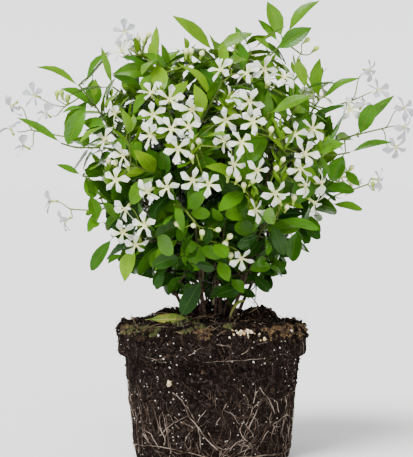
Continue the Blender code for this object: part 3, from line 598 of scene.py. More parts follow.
root_finish = Finish("root_skin", Roughness=0.75, Specular_IOR_Level=0.1)
place = root_finish.place
tone = place.grain(60, 3)
pale = tone.between(0.40, 0.64).blend((0.045, 0.028, 0.019), (0.27, 0.21, 0.165))
root_finish.feed("Base Color", place.grain(600, 2).between(0.5, 0.75).blend(
    pale, (0.025, 0.016, 0.012)))
root_finish.bump(place.grain(1800, 3), 0.2 * MM)
hand_over(fine_roots, "fine_roots", root_finish, "root")

pale_lines = []
for radius, *bends in PALE_ROOTS:
    points, radii = [], []
    for (x, z), (next_x, next_z) in zip(bends, bends[1:]):
        parts = max(2, round(math.hypot(next_x - x, next_z - z) / 2))
        for j in range(parts):
            share = j / parts
            seat, normal = on_ball(x + (next_x - x) * share + draw.gauss(0, 0.35),
                                   z + (next_z - z) * share + draw.gauss(0, 0.35))
            width = radius * draw.uniform(0.55, 0.8) * MM
            points.append(seat + normal * width * 0.6)
            radii.append(width)
    for k in range(1, len(points) - 1):
        points[k] = (points[k - 1] + points[k] * 2 + points[k + 1]) / 4
    pale_lines.append((points, radii))
pale_roots = tubes("pale_roots", pale_lines)
pale_finish = Finish("young_root_skin", Roughness=0.7, Specular_IOR_Level=0.1)
tone = pale_finish.place.grain(90, 3)
pale_finish.feed("Base Color", tone.between(0.36, 0.62).blend((0.050, 0.034, 0.026),
                                                              (0.25, 0.20, 0.165)))
pale_finish.bump(pale_finish.place.grain(1800, 3), 0.2 * MM)
hand_over(pale_roots, "pale_roots", pale_finish, "root")

hair_lines = []
for _ in range(HAIR_COUNT):
    angle = draw.uniform(0, 2 * math.pi)
    height = (2 + 104 * draw.random() ** 1.3) * MM
    start = on_circle(angle, LIP_RADIUS, height)
    side = Vector((-math.sin(angle), math.cos(angle), 0))
    heading = (UP + side * draw.gauss(0, 0.8)).normalized()
    root_line(start, heading, draw.uniform(5, 17) * MM, 0.14 * MM, draw, hair_lines)
hairs = tubes("root_hairs", hair_lines, sides=0)
hair_finish = Finish("root_hair", Roughness=0.8, Specular_IOR_Level=0.2)
tone = hair_finish.place.grain(50, 2)
hair_finish.feed("Base Color", tone.between(0.4, 0.6).blend((0.045, 0.022, 0.013),
                                                             (0.15, 0.095, 0.062)))
hair_finish.bump(hair_finish.place.grain(2500, 2), 0.1 * MM)
hand_over(hairs, "root_hairs", hair_finish, "root")

main_roots = copy_of_node("surface_roots")
edit(main_roots, lambda: bpy.ops.mesh.subdivide(number_cuts=2, smoothness=0.6))
round_off(main_roots)
slim = main_roots.modifiers.new("slim", "DISPLACE")
slim.strength = -0.45 * MM
slim.mid_level = 0
kinks = main_roots.modifiers.new("kinks", "DISPLACE")
kinks.texture = bpy.data.textures.new("kinks", "CLOUDS")
kinks.texture.noise_scale = 5 * MM
kinks.texture_coords = "LOCAL"
kinks.strength = 0.9 * MM
apply_modifiers(main_roots)
noise.seed_set(4)
for vertex in main_roots.data.vertices:
    seat, normal, _, _ = soil_tree.find_nearest(vertex.co)
    wander = noise.noise_vector(vertex.co * 60)
    along_wall = wander - normal * wander.dot(normal)
    vertex.co += along_wall * MAIN_ROOT_WANDER - normal * MAIN_ROOT_SINK
bpy.ops.object.shade_smooth()
hand_over(main_roots, "main_roots", root_finish, "root", "surface_roots")


# What lies and grows on the soil. Moss has started on the damp top, green round the stems and
# dried to gold at the right, with straws, dead root ends and bits of stalk between its tufts.

DEAD_STALKS = [  # how far in front of the axis, radius, then places across and up from the front
    (22, 0.45, (17, 119), (23, 113), (27, 107)), (5, 0.3, (30, 119), (33, 127), (38, 130), (42, 125)),
    (8, 0.3, (40, 128), (43, 121), (45, 114)), (0, 0.55, (41, 131), (37, 137), (34, 140), (34, 144)),
    (0, 0.45, (34, 140), (31, 138)), (30, 0.3, (-33, 118), (-27, 124), (-22, 127)),
    (40, 0.3, (-66, 113), (-72, 124)), (20, 0.35, (52, 116), (60, 112), (66, 114)),
]
SPROUT_DEPTH = 22
SPROUT = [(14.5, 116, 1.2), (15.5, 122, 1.1), (18, 129, 1.3), (22, 134.5, 1.9), (26, 136.5, 1.4),
          (29, 136, 0.4)]  # places across and up from the front, and the radius there, in mm
STRAW_COUNT = 190
STRAW_PARTS = 6
BLADES_PER_TUFT = 9
MOSS_PATCHES = [  # across, deep, radius, all mm, then the share that is gold and the tufts in it
    (-62, -46, 12, 0.3, 130), (-73, -30, 8, 0.45, 60), (-46, -60, 8, 0.1, 50), (-9, -76, 9, 0.95, 80),
    (-22, -70, 6, 0.3, 30), (-10, -64, 4, 0.1, 24), (14, -62, 5, 0.15, 44), (60, -50, 10, 0.95, 90),
    (72, -36, 10, 1.0, 120), (48, -64, 7, 0.9, 50), (79, -14, 6, 0.8, 40), (-22, -42, 13, 0.1, 50),
    (40, 50, 20, 0.5, 110), (-40, 55, 20, 0.4, 110), (0, 68, 16, 0.6, 80)]

moss_parts = []
draw = random.Random(31)
for _ in range(BLADES_PER_TUFT):
    bpy.ops.mesh.primitive_cone_add(vertices=3, radius1=0.24, radius2=0.04, depth=2.6,
                                    location=(0, 0, 0.9))
    blade = bpy.context.object
    blade.rotation_euler = (draw.uniform(-0.7, 0.7), draw.uniform(-0.7, 0.7), draw.uniform(0, 6))
    blade.location = (draw.uniform(-0.8, 0.8), draw.uniform(-0.8, 0.8), 0.7)
    moss_parts.append(blade)
apply_places(moss_parts)
tuft = joined(moss_parts)
flat = points_of(tuft)
shapes, gold = [], []
for across, deep, radius, golden, count in MOSS_PATCHES:
    for _ in range(count):
        angle = draw.uniform(0, FULL_TURN)
        out = radius * draw.random() ** 0.8
        seat, normal = soil_below((across + math.cos(angle) * out) * MM,
                                  (deep + math.sin(angle) * out) * MM)
        if seat is None or seat.z < BALL_HEIGHT - LIP_HEIGHT:
            continue
        size = draw.uniform(0.6, 1.5) * MM
        turn = (normal + UP * 0.6).to_track_quat("Z", "Y").to_matrix()
        turn = np.array(turn @ Matrix.Rotation(draw.uniform(0, FULL_TURN), 3, "Z"))
        shapes.append(flat @ turn.T * size + np.array(seat))
        gold.append(min(1, max(0, draw.gauss(golden, 0.22))))
moss = join_copies("moss", tuft, shapes, {"gold": gold})
bpy.data.objects.remove(tuft)
moss_finish = Finish("moss", Roughness=0.85)
tint = moss_finish.place.grain(500, 2)
green = tint.between(0.35, 0.65).blend((0.005, 0.010, 0.003), (0.105, 0.120, 0.022))
golden = tint.between(0.42, 0.66).blend((0.018, 0.010, 0.005), (0.26, 0.150, 0.048))
moss_finish.feed("Base Color", moss_finish.attribute("gold").between(0.3, 0.7).blend(green, golden))
moss_finish.bump(moss_finish.place.grain(2500, 2), 0.2 * MM)
hand_over(moss, "moss_tufts", moss_finish, "litter")

straws = []
for _ in range(STRAW_COUNT):
    angle = draw.uniform(0, FULL_TURN)
    out = LIP_RADIUS * 0.97 * math.sqrt(draw.random())
    seat, normal = soil_below(math.cos(angle) * out, math.sin(angle) * out)
    if seat is None:
        continue
    heading = Vector((draw.uniform(-1, 1), draw.uniform(-1, 1), draw.uniform(-0.25, 0.45)))
    heading.normalize()
    length = draw.uniform(5, 21) * MM
    sag = Vector((draw.uniform(-1, 1), draw.uniform(-1, 1), draw.uniform(-0.2, 1))) * length * 0.15
    middle = seat + normal * 0.8 * MM
    points = []
    for j in range(STRAW_PARTS + 1):
        t = j / STRAW_PARTS - 0.5
        points.append(middle + heading * length * t + sag * (0.25 - t * t) * 4)
    width = draw.uniform(0.16, 0.42) * MM
    radii = [width * (1 - 0.5 * j / STRAW_PARTS) for j in range(STRAW_PARTS + 1)]
    straws.append((points, radii))
for depth, radius, *bends in DEAD_STALKS:
    bends = [seen_from_front(x * MM, z * MM, -depth * MM) for x, z in bends]
    points = []
    for a, b in zip(bends, bends[1:]):
        points += [a, a.lerp(b, 0.5)]
    straws.append((points + [bends[-1]], [radius * MM] * (len(points) + 1)))
straw = tubes("straw", straws, sides=0)
straw_finish = Finish("straw", Roughness=0.7)
tone = straw_finish.place.grain(45, 2)
straw_finish.feed("Base Color", tone.between(0.38, 0.62).blend((0.022, 0.012, 0.007),
                                                                (0.17, 0.115, 0.065)))
straw_finish.bump(straw_finish.place.grain(2000, 2), 0.15 * MM)
hand_over(straw, "straws", straw_finish, "litter")

sprout_line = [seen_from_front(x * MM, z * MM, -SPROUT_DEPTH * MM) for x, z, _ in SPROUT]
sprout = tubes("sprout", [(sprout_line, [radius * MM for _, _, radius in SPROUT])])
round_off(sprout)
apply_modifiers(sprout)
bpy.ops.object.shade_smooth()
sprout_finish = Finish("sprout", Roughness=0.5, Specular_IOR_Level=0.1)
green_part = sprout_finish.place.height().between(118 * MM, 136 * MM)
sprout_finish.feed("Base Color", green_part.blend((0.20, 0.17, 0.09), (0.13, 0.17, 0.02)))
sprout_finish.bump(sprout_finish.place.grain(900, 3), 0.2 * MM)
hand_over(sprout, "sprout", sprout_finish, "litter")


# The stems. Nine thin woody leaders stand in the soil and splay outwards, and leafy shoots branch
# from them. The wood is dark brown and scaly below, green where it is young. The first is the oldest.

# These sizes, and the functions down to grow_stems, follow the CAD's, so that the wood runs just where
# the CAD's does.
HOLE_DEPTH = 14 * MM
SEAT_GAP = 0.3 * MM
MOUND_HEIGHT = 10 * MM
HUMPS_PER_METRE = 45
LUMPS_PER_METRE = 110
HUMP_HEIGHT = 5 * MM
LUMP_HEIGHT = 2 * MM
CROWN_CENTRE = Vector((0, 0, 262 * MM))
CROWN_RADII = Vector((120 * MM, 106 * MM, 113 * MM))
LEADER_COUNT = 9
INNER_LEADERS = 3
LEADER_RADIUS = 1.6 * MM
OLD_LEADER_RADIUS = 2.0 * MM
SHOOT_RADIUS = 1.1 * MM
TWIG_RADIUS = 0.85 * MM
STEM_GAP = 4.5 * MM
FILL_COUNT = 40
FILL_TURN = 0.6
FILL_SPACING = 35 * MM

# The inner leaders, then the outer ones: how many, the first one's azimuth in degrees, how far out its
# foot is in mm, how high its tip is seen from the crown's middle in degrees, and how much it leans.
LEADER_RINGS = [(INNER_LEADERS, 80, 9, 62, 0.15), (LEADER_COUNT - INNER_LEADERS, 15, 25, 12, 0.55)]

# Tips of the shoots that make the outline: across and up as seen from the front, and depth, mm.
OUTLINE_TIPS = [
    (-133, 275, -20), (-117, 326, 10), (-53, 340, 0), (1, 357, -10), (66, 372, 0), (94, 313, 10),
    (129, 284, 0), (121, 267, -30), (98, 236, -10), (104, 222, 25), (81, 203, 0),
    (-114, 246, -10), (-98, 222, 5), (-88, 193, -20), (-69, 186, -40), (-42, 168, -30),
    (34, 160, -35), (-8, 156, -45), (12, 160, 45), (-40, 168, 50), (52, 172, 40)]


def soil_top(x, y):
    """Height at which a stem comes out of the soil."""
    out = math.hypot(x, y) / LIP_RADIUS
    mound = MOUND_HEIGHT * max(0.0, 1 - out * out)
    humps = noise.noise(Vector((x, y, 0.5)) * HUMPS_PER_METRE) * HUMP_HEIGHT
    small = noise.noise(Vector((x, y, 3)) * LUMPS_PER_METRE) * LUMP_HEIGHT
    return BALL_HEIGHT + mound + (humps + small) * max(0.25, 1 - out ** 6)


def on_crown(azimuth, elevation, share):
    heading = Vector((math.cos(azimuth) * math.cos(elevation),
                      math.sin(azimuth) * math.cos(elevation), math.sin(elevation)))
    return CROWN_CENTRE + heading * CROWN_RADII * share


def bezier(a, b, c, d, steps):
    places = []
    for k in range(steps + 1):
        t = k / steps
        left = 1 - t
        places.append(a * left ** 3 + b * 3 * t * left ** 2 + c * 3 * t * t * left + d * t ** 3)
    return places


def leader_path(number):
    count, first, foot_out, rise, splay = LEADER_RINGS[0 if number < INNER_LEADERS else 1]
    azimuth = math.radians(first) + 2 * math.pi * (number % count) / count
    out = on_circle(azimuth, 1)
    foot = out * (foot_out * MM)
    foot.z = soil_top(foot.x, foot.y)
    tip = on_crown(azimuth, math.radians(rise), 0.78)
    lean = (UP + out * splay).normalized()
    reach = (tip - foot).length
    start = foot + UP * 3 * MM
    last = (UP * 0.8 + out).normalized()
    curve = bezier(start, start + lean * reach * 0.45, tip - last * reach * 0.3, tip, 7)
    return [foot - UP * (HOLE_DEPTH - SEAT_GAP)] + curve


def shoot_tips():
    """The tips that make the outline, then others spread evenly over the rest of the crown."""
    tips = [seen_from_front(a * MM, u * MM, d * MM) for a, u, d in OUTLINE_TIPS]
    outline = list(tips)
    golden = math.pi * (3 - math.sqrt(5))
    for k in range(FILL_COUNT):
        height = 0.98 - 1.62 * (k + 0.5) / FILL_COUNT
        place = on_crown(golden * k + FILL_TURN, math.asin(height), 0.92)
        if min((place - other).length for other in outline) > FILL_SPACING:
            tips.append(place)
    return tips


def best_branch(tip, leaders, used):
    """The leader, and the point on it, that a shoot to this tip leaves with the least bend."""
    best = None
    easy_bend = math.radians(40)
    for number, path in enumerate(leaders):
        for k in range(3, len(path) - 1):
            along = (path[k + 1] - path[k - 1]).normalized()
            away = tip - path[k]
            cost = away.length * (1 + 0.8 * max(0, along.angle(away) - easy_bend))
            cost += 12 * MM * used.get((number, k), 0) + 5 * MM * used.get(number, 0)
            if away.length > 18 * MM and (best is None or cost < best[0]):
                best = (cost, number, k, along)
    return best[1:]


def shoot_path(start, along, tip, sway):
    reach = (tip - start).length
    out = (tip - CROWN_CENTRE).normalized()
    onward = (tip - start).normalized()
    first = (along * 0.6 + onward * 0.6 + onward.cross(along) * sway).normalized()
    last = (out + UP * 0.45).normalized()
    return bezier(start, start + first * reach * 0.35, tip - last * reach * 0.3, tip, 4)


def gap_between(path, others):
    """The least distance from points along a path to the pieces of other paths."""
    least = 1.0
    for a, b in zip(path, path[1:]):
        for share in (0.0, 0.33, 0.67, 1.0):
            place = a.lerp(b, share)
            for other in others:
                for start, end in zip(other, other[1:]):
                    side = end - start
                    along = min(1, max(0, (place - start).dot(side) / side.length_squared))
                    least = min(least, (place - start - side * along).length)
    return least


def grow_stems():
    """Every stem as (points, radii), grouped by its leader."""
    leaders = [leader_path(number) for number in range(LEADER_COUNT)]
    stems = []
    for number, path in enumerate(leaders):
        thick = LEADER_RADIUS if number else OLD_LEADER_RADIUS
        radii = [thick - (thick - SHOOT_RADIUS) * k / (len(path) - 1) for k in range(len(path))]
        stems.append([(path, radii)])
    used = {}
    for tip in shoot_tips():
        number, k, along = best_branch(tip, leaders, used)
        used[(number, k)] = used.get((number, k), 0) + 1
        used[number] = used.get(number, 0) + 1
        others = [stem[0] for other, group in enumerate(stems) if other != number for stem in group]
        best = (-1.0, None)
        for sway in (0.0, 0.3, -0.3, 0.6, -0.6, 0.9, -0.9):
            path = shoot_path(leaders[number][k], along, tip, sway)
            gap = min(gap_between(path, others), STEM_GAP)
            if gap > best[0]:
                best = (gap, path)
        path = best[1]
        start = min(SHOOT_RADIUS, 0.8 * stems[number][0][1][k])
        radii = [start - (start - TWIG_RADIUS) * j / (len(path) - 1) for j in range(len(path))]
        stems[number].append((path, radii))
    return stems


KNOT_SWELL = 0.16
SMOOTH_PARTS = 4


def smoothed(path, radii):
    """More points on a smooth line through a stem's own, with knots in the wood where it kinks."""
    points, widths = [], []
    for k in range(len(path) - 1):
        before = path[max(k - 1, 0)]
        after = path[min(k + 2, len(path) - 1)]
        first = (path[k + 1] - before) / 2
        second = (after - path[k]) / 2
        for j in range(SMOOTH_PARTS):
            t = j / SMOOTH_PARTS
            points.append(path[k] * (2 * t ** 3 - 3 * t * t + 1) + first * (t ** 3 - 2 * t * t + t)
                          + path[k + 1] * (3 * t * t - 2 * t ** 3) + second * (t ** 3 - t * t))
            width = radii[k] + (radii[k + 1] - radii[k]) * t
            widths.append(width * (1 + KNOT_SWELL if j == 0 and k else 1))
    return points + [path[-1]], widths + [radii[-1]]


stems = grow_stems()
bark_finish = Finish("bark", Roughness=0.7, Specular_IOR_Level=0.15)
place = bark_finish.place
middle = place.node("VectorMath", {"operation": "SUBTRACT"}, {0: place, 1: tuple(CROWN_CENTRE)})
middle = middle.node("VectorMath", {"operation": "DIVIDE"}, {0: middle, 1: tuple(CROWN_RADII)})
outness = middle.node("VectorMath", {"operation": "LENGTH"}, {0: middle}, output=1)
scaly = place.grain(260, 4)
old_bark = scaly.between(0.36, 0.62).blend((0.009, 0.0045, 0.003), (0.050, 0.027, 0.017))
old_bark = place.grain(900, 2).between(0.60, 0.70).blend(old_bark, (0.12, 0.09, 0.065))
young_bark = scaly.between(0.3, 0.7).blend((0.030, 0.060, 0.006), (0.085, 0.13, 0.016))
youth = outness.between(0.45, 0.85) * place.height().between(160 * MM, 240 * MM)
bark_finish.feed("Base Color", youth.blend(old_bark, young_bark))
bark_finish.feed("Roughness", 0.8 - youth * 0.35)
bark_finish.bump(scaly + place.grain(1400, 3) * 0.5, 0.5 * MM)

# The oldest stem's bark. Its tan is painted far paler than the bark's own colour: painted sunlight on a
# stem that stands in the crown's shade.
old_finish_painted_sunlight = Finish("old_bark", Roughness=0.7, Specular_IOR_Level=0.15)
strip = old_finish_painted_sunlight.place.node("VectorMath", {"operation": "MULTIPLY"}, {
    0: old_finish_painted_sunlight.place, 1: (1.0, 1.0, 0.12)}).grain(700, 4)
painted_sunlit_tan = strip.between(0.32, 0.66).blend((0.130, 0.098, 0.056), (0.400, 0.330, 0.200))
old_finish_painted_sunlight.feed("Base Color", old_finish_painted_sunlight.place.grain(160, 3).between(0.6, 0.72).blend(
    painted_sunlit_tan, (0.02, 0.012, 0.008)))
old_finish_painted_sunlight.bump(strip, 0.5 * MM)


# The leaves. They grow in pairs, short-stalked, leathery and glossy, each folded a little along
# its rib. New ones at the tips are yellow-green, and old ones low down are dark and rounder.

PETIOLE = 5 * MM
LEAF_LENGTH = 40 * MM
LEAF_WIDTH = 19 * MM
LEAF_RIB = 1.3 * MM
LEAF_THICKNESS = 0.5 * MM
RIM_GAP = 0.01 * MM
ROOM_TRIES = 9
CROWN_TWIGS = 420
LOW_TWIGS = 260
SUCKER_COUNT = 8
LOWEST_LEAF = 121 * MM
NEIGHBOURHOOD = 50 * MM
FOOT_BOTTOM = 136 * MM
FOOT_HEIGHT = 50 * MM
FOOT_RADIUS = 24 * MM

# How a leaf's shape in the CAD is known: its two widest rows, as shares of its length, and how wide
# the second one is for the leaf's width.
CAD_ROWS = {"round": (0.34, 0.70, 0.85), "plain": (0.30, 0.68, 0.88)}

# Half widths of a blade at shares of its length, for a pointed leaf and for a rounder one.
LEAF_OUTLINES = {
    "pointed": [(0.0, 0.05), (0.06, 0.22), (0.20, 0.58), (0.40, 0.82), (0.60, 0.76), (0.80, 0.47),
                (0.93, 0.17), (1.0, 0.0)],
    "round": [(0.0, 0.05), (0.06, 0.26), (0.20, 0.64), (0.40, 0.93), (0.60, 1.0), (0.80, 0.80),
              (0.93, 0.46), (1.0, 0.0)],
}

# Leaves that stand out at the front: where each one's foot and tip show, across and up as seen from
# there, its width, how far it lies in front of the axis, all mm, how many degrees it's turned about
# its rib, its outline and how new it is.
PLACED_LEAVES = [
    ((-31, 190), (-50, 163), 13, 45, 0, "pointed", 0.75),
    ((-24, 191), (-12, 163), 21, 50, 0, "round", 0.45), ((4, 189), (18, 173), 17, 48, 0, "round", 0.15),
    ((6, 171), (15, 153), 14, 50, 0, "pointed", 0.65),
    ((17, 155), (28, 143), 12, 45, 0, "pointed", 0.35),
    ((47, 172), (36, 163), 13, 35, 0, "round", 0.25), ((37, 158), (50, 144), 10, 35, 0, "round", 0.05),
    ((-35, 160), (-52, 150), 15, 30, 0, "round", 0.05),
    ((-5, 150), (-20, 143), 11, 30, 0, "round", 0.0),
    ((76, 198), (71, 171), 14, 20, 0, "round", 0.3), ((81, 202), (95, 191), 10, 15, 0, "round", 0.1),
    ((60, 192), (51, 176), 14, 40, 0, "round", 0.1), ((42, 189), (30, 176), 13, 45, 0, "round", 0.1),
    ((-58, 172), (-72, 161), 13, 25, 0, "round", 0.05), ((24, 196), (12, 182), 15, 40, 0, "round", 0.1),
    ((-44, 186), (-60, 176), 14, 30, 0, "round", 0.1), ((-8, 176), (-22, 166), 12, 25, 0, "round", 0.0),
    ((28, 172), (14, 163), 12, 22, 0, "round", 0.0),
    ((-111, 331), (-90, 356), 13, -5, -38, "pointed", 0.6),
    ((-105, 331), (-105, 307), 15, 2, 9, "round", 0.5),
    ((-107, 309), (-133, 323), 13, 6, 19, "pointed", 0.55),
    ((-112, 307), (-127, 274), 16, 12, 3, "round", 0.5),
    ((-112, 307), (-132, 302), 10, 8, 37, "pointed", 0.55),
    ((-100, 260), (-109, 245), 12, 8, 34, "pointed", 0.5),
    ((-111, 245), (-104, 227), 13, 10, 6, "round", 0.6),
    ((-107, 228), (-101, 210), 12, 12, -6, "round", 0.5),
    ((-101, 226), (-83, 231), 10, 10, -19, "pointed", 0.85),
    ((-96, 223), (-85, 209), 10, 14, 25, "pointed", 0.55),
    ((-99, 205), (-110, 202), 10, 15, 12, "round", 0.6),
    ((-80, 177), (-92, 169), 10, 15, 28, "pointed", 0.2),
    ((97, 315), (130, 333), 13, -8, -31, "pointed", 0.5),
    ((130, 284), (141, 309), 14, -3, 12, "round", 0.5),
    ((87, 295), (118, 309), 12, 5, -34, "pointed", 0.15),
    ((115, 264), (105, 242), 16, 10, 6, "round", 0.45),
    ((117, 250), (130, 237), 10, 5, 25, "pointed", 0.45),
    ((83, 290), (70, 327), 16, 10, -6, "round", 0.6), ((2, 358), (35, 370), 12, 0, -28, "pointed", 0.3),
    ((-47, 336), (-81, 351), 13, 0, 31, "pointed", 0.3),
    ((-60, 321), (-88, 335), 14, 5, 22, "pointed", 0.2),
    ((-47, 334), (-19, 356), 12, -3, -31, "pointed", 0.25),
    ((-1, 340), (-26, 357), 12, 3, 28, "pointed", 0.75),
    ((62, 348), (39, 366), 12, 0, 34, "pointed", 0.35),
    ((59, 334), (39, 351), 14, 8, 25, "pointed", 0.65),
    ((-10, 340), (5, 317), 18, 30, 6, "round", 0.3),
    ((35, 334), (49, 302), 14, 25, 12, "pointed", 0.65),
    ((64, 327), (51, 304), 15, 20, -9, "round", 0.45),
    ((-61, 269), (-46, 253), 16, 35, -6, "round", 0.35),
]

# New shoots that stand up from the leaves at the front: foot and tip, across and up in mm.
NEW_SHOOTS = [((-72, 271), (-74, 303)), ((63, 268), (58, 292)), ((61, 238), (58, 255)),
              ((-45, 305), (-47, 322)), ((12, 300), (14, 318)), ((35, 213), (37, 231)),
              ((-20, 262), (-18, 281)), ((92, 260), (97, 279)), ((-90, 236), (-93, 253))]
NEW_SHOOTS_BEHIND = 9


def widen(grid, row, reach, half):
    """Gives the points of a grid that lie within reach of this row their half width."""
    edit(grid, lambda: bpy.ops.mesh.select_all(action="DESELECT"))
    for vertex in grid.data.vertices:
        vertex.select = abs(vertex.co.y - row) < reach
    bpy.ops.object.mode_set(mode="EDIT")
    bpy.ops.transform.resize(value=(half, 1, 1), center_override=(0, 0, 0))
    bpy.ops.object.mode_set(mode="OBJECT")


def note_shares(thing, **values):
    """Writes down for each point how far along and across it lies, for the materials."""
    for name, shares in values.items():
        made = thing.data.attributes.new(name, "FLOAT", "POINT")
        made.data.foreach_set("value", shares)


def close_sheet(sheet):
    """Closes a sheet that bulges upwards with its own mirror image, joined to it at the rim."""
    edit(sheet, bpy.ops.mesh.duplicate,
         lambda: bpy.ops.transform.resize(value=(1, 1, -1), center_override=(0, 0, 0)),
         bpy.ops.mesh.flip_normals)
    edit(sheet, lambda: merge_doubles(RIM_GAP))


def flat_leaf(name, outline):
    """A blade with its stalk, laid out flat along Y, thin at the rim, a few dozen faces in all."""
    rows = [-PETIOLE] + [share * LEAF_LENGTH for share, _ in outline]
    halves = [0.55 * MM] + [half * LEAF_WIDTH / 2 for _, half in outline]
    bpy.ops.mesh.primitive_grid_add(x_subdivisions=4, y_subdivisions=len(rows) - 1, size=2)
    leaf = bpy.context.object
    leaf.name = name
    step = 2 / (len(rows) - 1)
    across = [vertex.co.x for vertex in leaf.data.vertices]
    for k, half in enumerate(halves):
        widen(leaf, -1 + step * k, step / 4, half)
    for vertex, side in zip(leaf.data.vertices, across):
        k = round((vertex.co.y + 1) / step)
        vertex.co.y = rows[k]
        inner = 0 < k < len(rows) - 1
        vertex.co.z = LEAF_THICKNESS / 2 * (1 - side ** 4) * inner
    note_shares(leaf, across=across, along=[v.co.y / LEAF_LENGTH for v in leaf.data.vertices])
    close_sheet(leaf)
    for _ in range(2):
        leaf.data.materials.append(None)
    for face in leaf.data.polygons:
        face.material_index = 1 if face.normal.z < 0 else 0
    bpy.ops.object.shade_smooth_by_angle(angle=math.radians(70))
    return leaf


class Leaf:
    """Where one leaf grows, how it points and faces, and its size and droop."""

    def __init__(self, root, direction, face, length, width, droop, petiole=PETIOLE):
        self.root = root
        self.direction = direction
        self.face = face
        self.length = length
        self.width = width
        self.droop = max(droop, 0.01)
        self.petiole = petiole
        self.look = None  # its outline and how new it is, once that is settled

    def bend(self, points, fold=1.0, wave=0.0, turn=0.0, sweep=0.0):
        """A flat leaf's points carried to where this leaf arches, folds and waves.

        sweep is how far the middle of the blade bows out sideways and up, as a share of its length."""
        direction = np.array(self.direction)
        face = np.array(self.face)
        across = np.array(self.direction.cross(self.face))
        share = points[:, 1] / LEAF_LENGTH
        on_blade = np.clip(share, 0, 1)
        angle = self.droop * on_blade
        ahead = self.length * np.sin(angle) / self.droop
        ahead = np.where(share < 0, points[:, 1] * self.petiole / PETIOLE, ahead)
        down = self.length * (1 - np.cos(angle)) / self.droop
        upper_side = 1 if across[2] > 0 else -1
        bow = sweep * upper_side * self.length * np.sin(math.pi * on_blade)
        side = points[:, 0] * self.width / LEAF_WIDTH + bow
        reach = np.abs(points[:, 0]) / (LEAF_WIDTH / 2)
        swell = np.abs(np.sin(math.pi * on_blade)) ** 0.5
        lift = -LEAF_RIB * fold * (1 - reach ** 0.85) * swell
        lift = lift + wave * reach * np.sin(on_blade * 9 + turn) * MM
        lift = lift + points[:, 2]
        base = np.array(self.root + self.direction * self.petiole)
        up = face[None] * np.cos(angle)[:, None] + direction[None] * np.sin(angle)[:, None]
        return (base + ahead[:, None] * direction - down[:, None] * face
                + side[:, None] * across + lift[:, None] * up)

    def probe(self):
        """A coarse closed shape a little bigger than the blade, to test what it would touch."""
        flat = []
        for lift in (0.7 * MM, -1.9 * MM):
            for share, half in ((0.02, 0.1), (0.34, 1.0), (0.70, 0.95)):
                for side in (-1, 1):
                    flat.append((side * half * LEAF_WIDTH / 2, share * LEAF_LENGTH, lift))
            flat.append((0, LEAF_LENGTH * 1.02, lift))
        places = self.bend(np.array(flat), fold=0)
        sheet = [(0, 1, 3), (0, 3, 2), (2, 3, 5), (2, 5, 4), (4, 5, 6)]
        faces = sheet + [tuple(k + 7 for k in face) for face in sheet]
        faces += [(k, k + 7, k + 9) for k in range(4)] + [(4, 11, 13), (5, 12, 13)]
        return [Vector(place) for place in places], faces


def square_to(direction, hint):
    """A unit vector at a right angle to direction, as near to hint as can be."""
    left = hint - direction * hint.dot(direction)
    if left.length < 1e-6:
        left = direction.orthogonal()
    return left.normalized()


def stray(draw):
    """A short way in any direction."""
    return Vector((draw.uniform(-1, 1), draw.uniform(-1, 1), draw.uniform(-1, 1)))


def around(vertices, seen):
    """The points next to these that have not been seen."""
    found = []
    for vertex in vertices:
        for edge in vertex.link_edges:
            other = edge.other_vert(vertex)
            if other not in seen and other not in found:
                found.append(other)
    return found


def share_of_crown(place):
    """How far out a place is, from 0 at the crown's middle to 1 on its surface."""
    away = place - CROWN_CENTRE
    return Vector((away.x / CROWN_RADII.x, away.y / CROWN_RADII.y, away.z / CROWN_RADII.z)).length


LEAST_LEAF_WIDTH = 5 * MM
LEAST_LEAF_SIDE = 2 * MM
ROUNDNESS = 1.08
FAR_OUT = 1.1
FAR_LEAF_SLIMNESS = 0.8
KNOWN_WITHIN = 7
KNOWN_DEPTH = 35 * MM

# Leaves of the CAD that stand out in the photograph: where the tip is, across and up in mm, how much
# longer and wider than in the CAD the leaf is, its outline and how new it is. One is known by a tip
# within a few mm of that, at the plant's front half.
KNOWN_LEAVES = [(49, 398, 1.0, 1.15, "pointed", 0.75), (87, 376, 1.0, 1.15, "pointed", 0.5),
                (40, 383, 1.0, 0.8, "pointed", 0.35), (94, 400, 1.0, 0.8, "pointed", 0.7),
                (-35, 386, 1.0, 0.8, "pointed", 0.85), (17.5, 392, 0.55, 0.5, "pointed", 0.6),
                (17.5, 378, 0.7, 0.7, "pointed", 0.5), (-28, 122, 0.9, 1.0, "round", 0.0),
                (-75, 154, 1.0, 1.1, "pointed", 0.9), (-156, 343, 1.0, 0.55, "pointed", 0.75),
                (-169, 297, 1.0, 0.5, "pointed", 0.65), (-136, 256, 1.0, 0.65, "pointed", 0.6),
                (155, 275, 1.0, 0.5, "pointed", 0.35), (161, 318, 1.0, 1.1, "pointed", 0.4)]


def shape_of_node(name):
    """A CAD node's mesh, with its loose triangles merged, to read points and edges from."""
    shape = bmesh.new()
    shape.from_mesh(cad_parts[name].data)
    bmesh.ops.remove_doubles(shape, verts=shape.verts, dist=1e-6)
    return shape


def sides_of(ring):
    """The length of each side between three points, and those two points' numbers."""
    return [((ring[a].co - ring[b].co).length, a, b) for a, b in ((0, 1), (1, 2), (0, 2))]


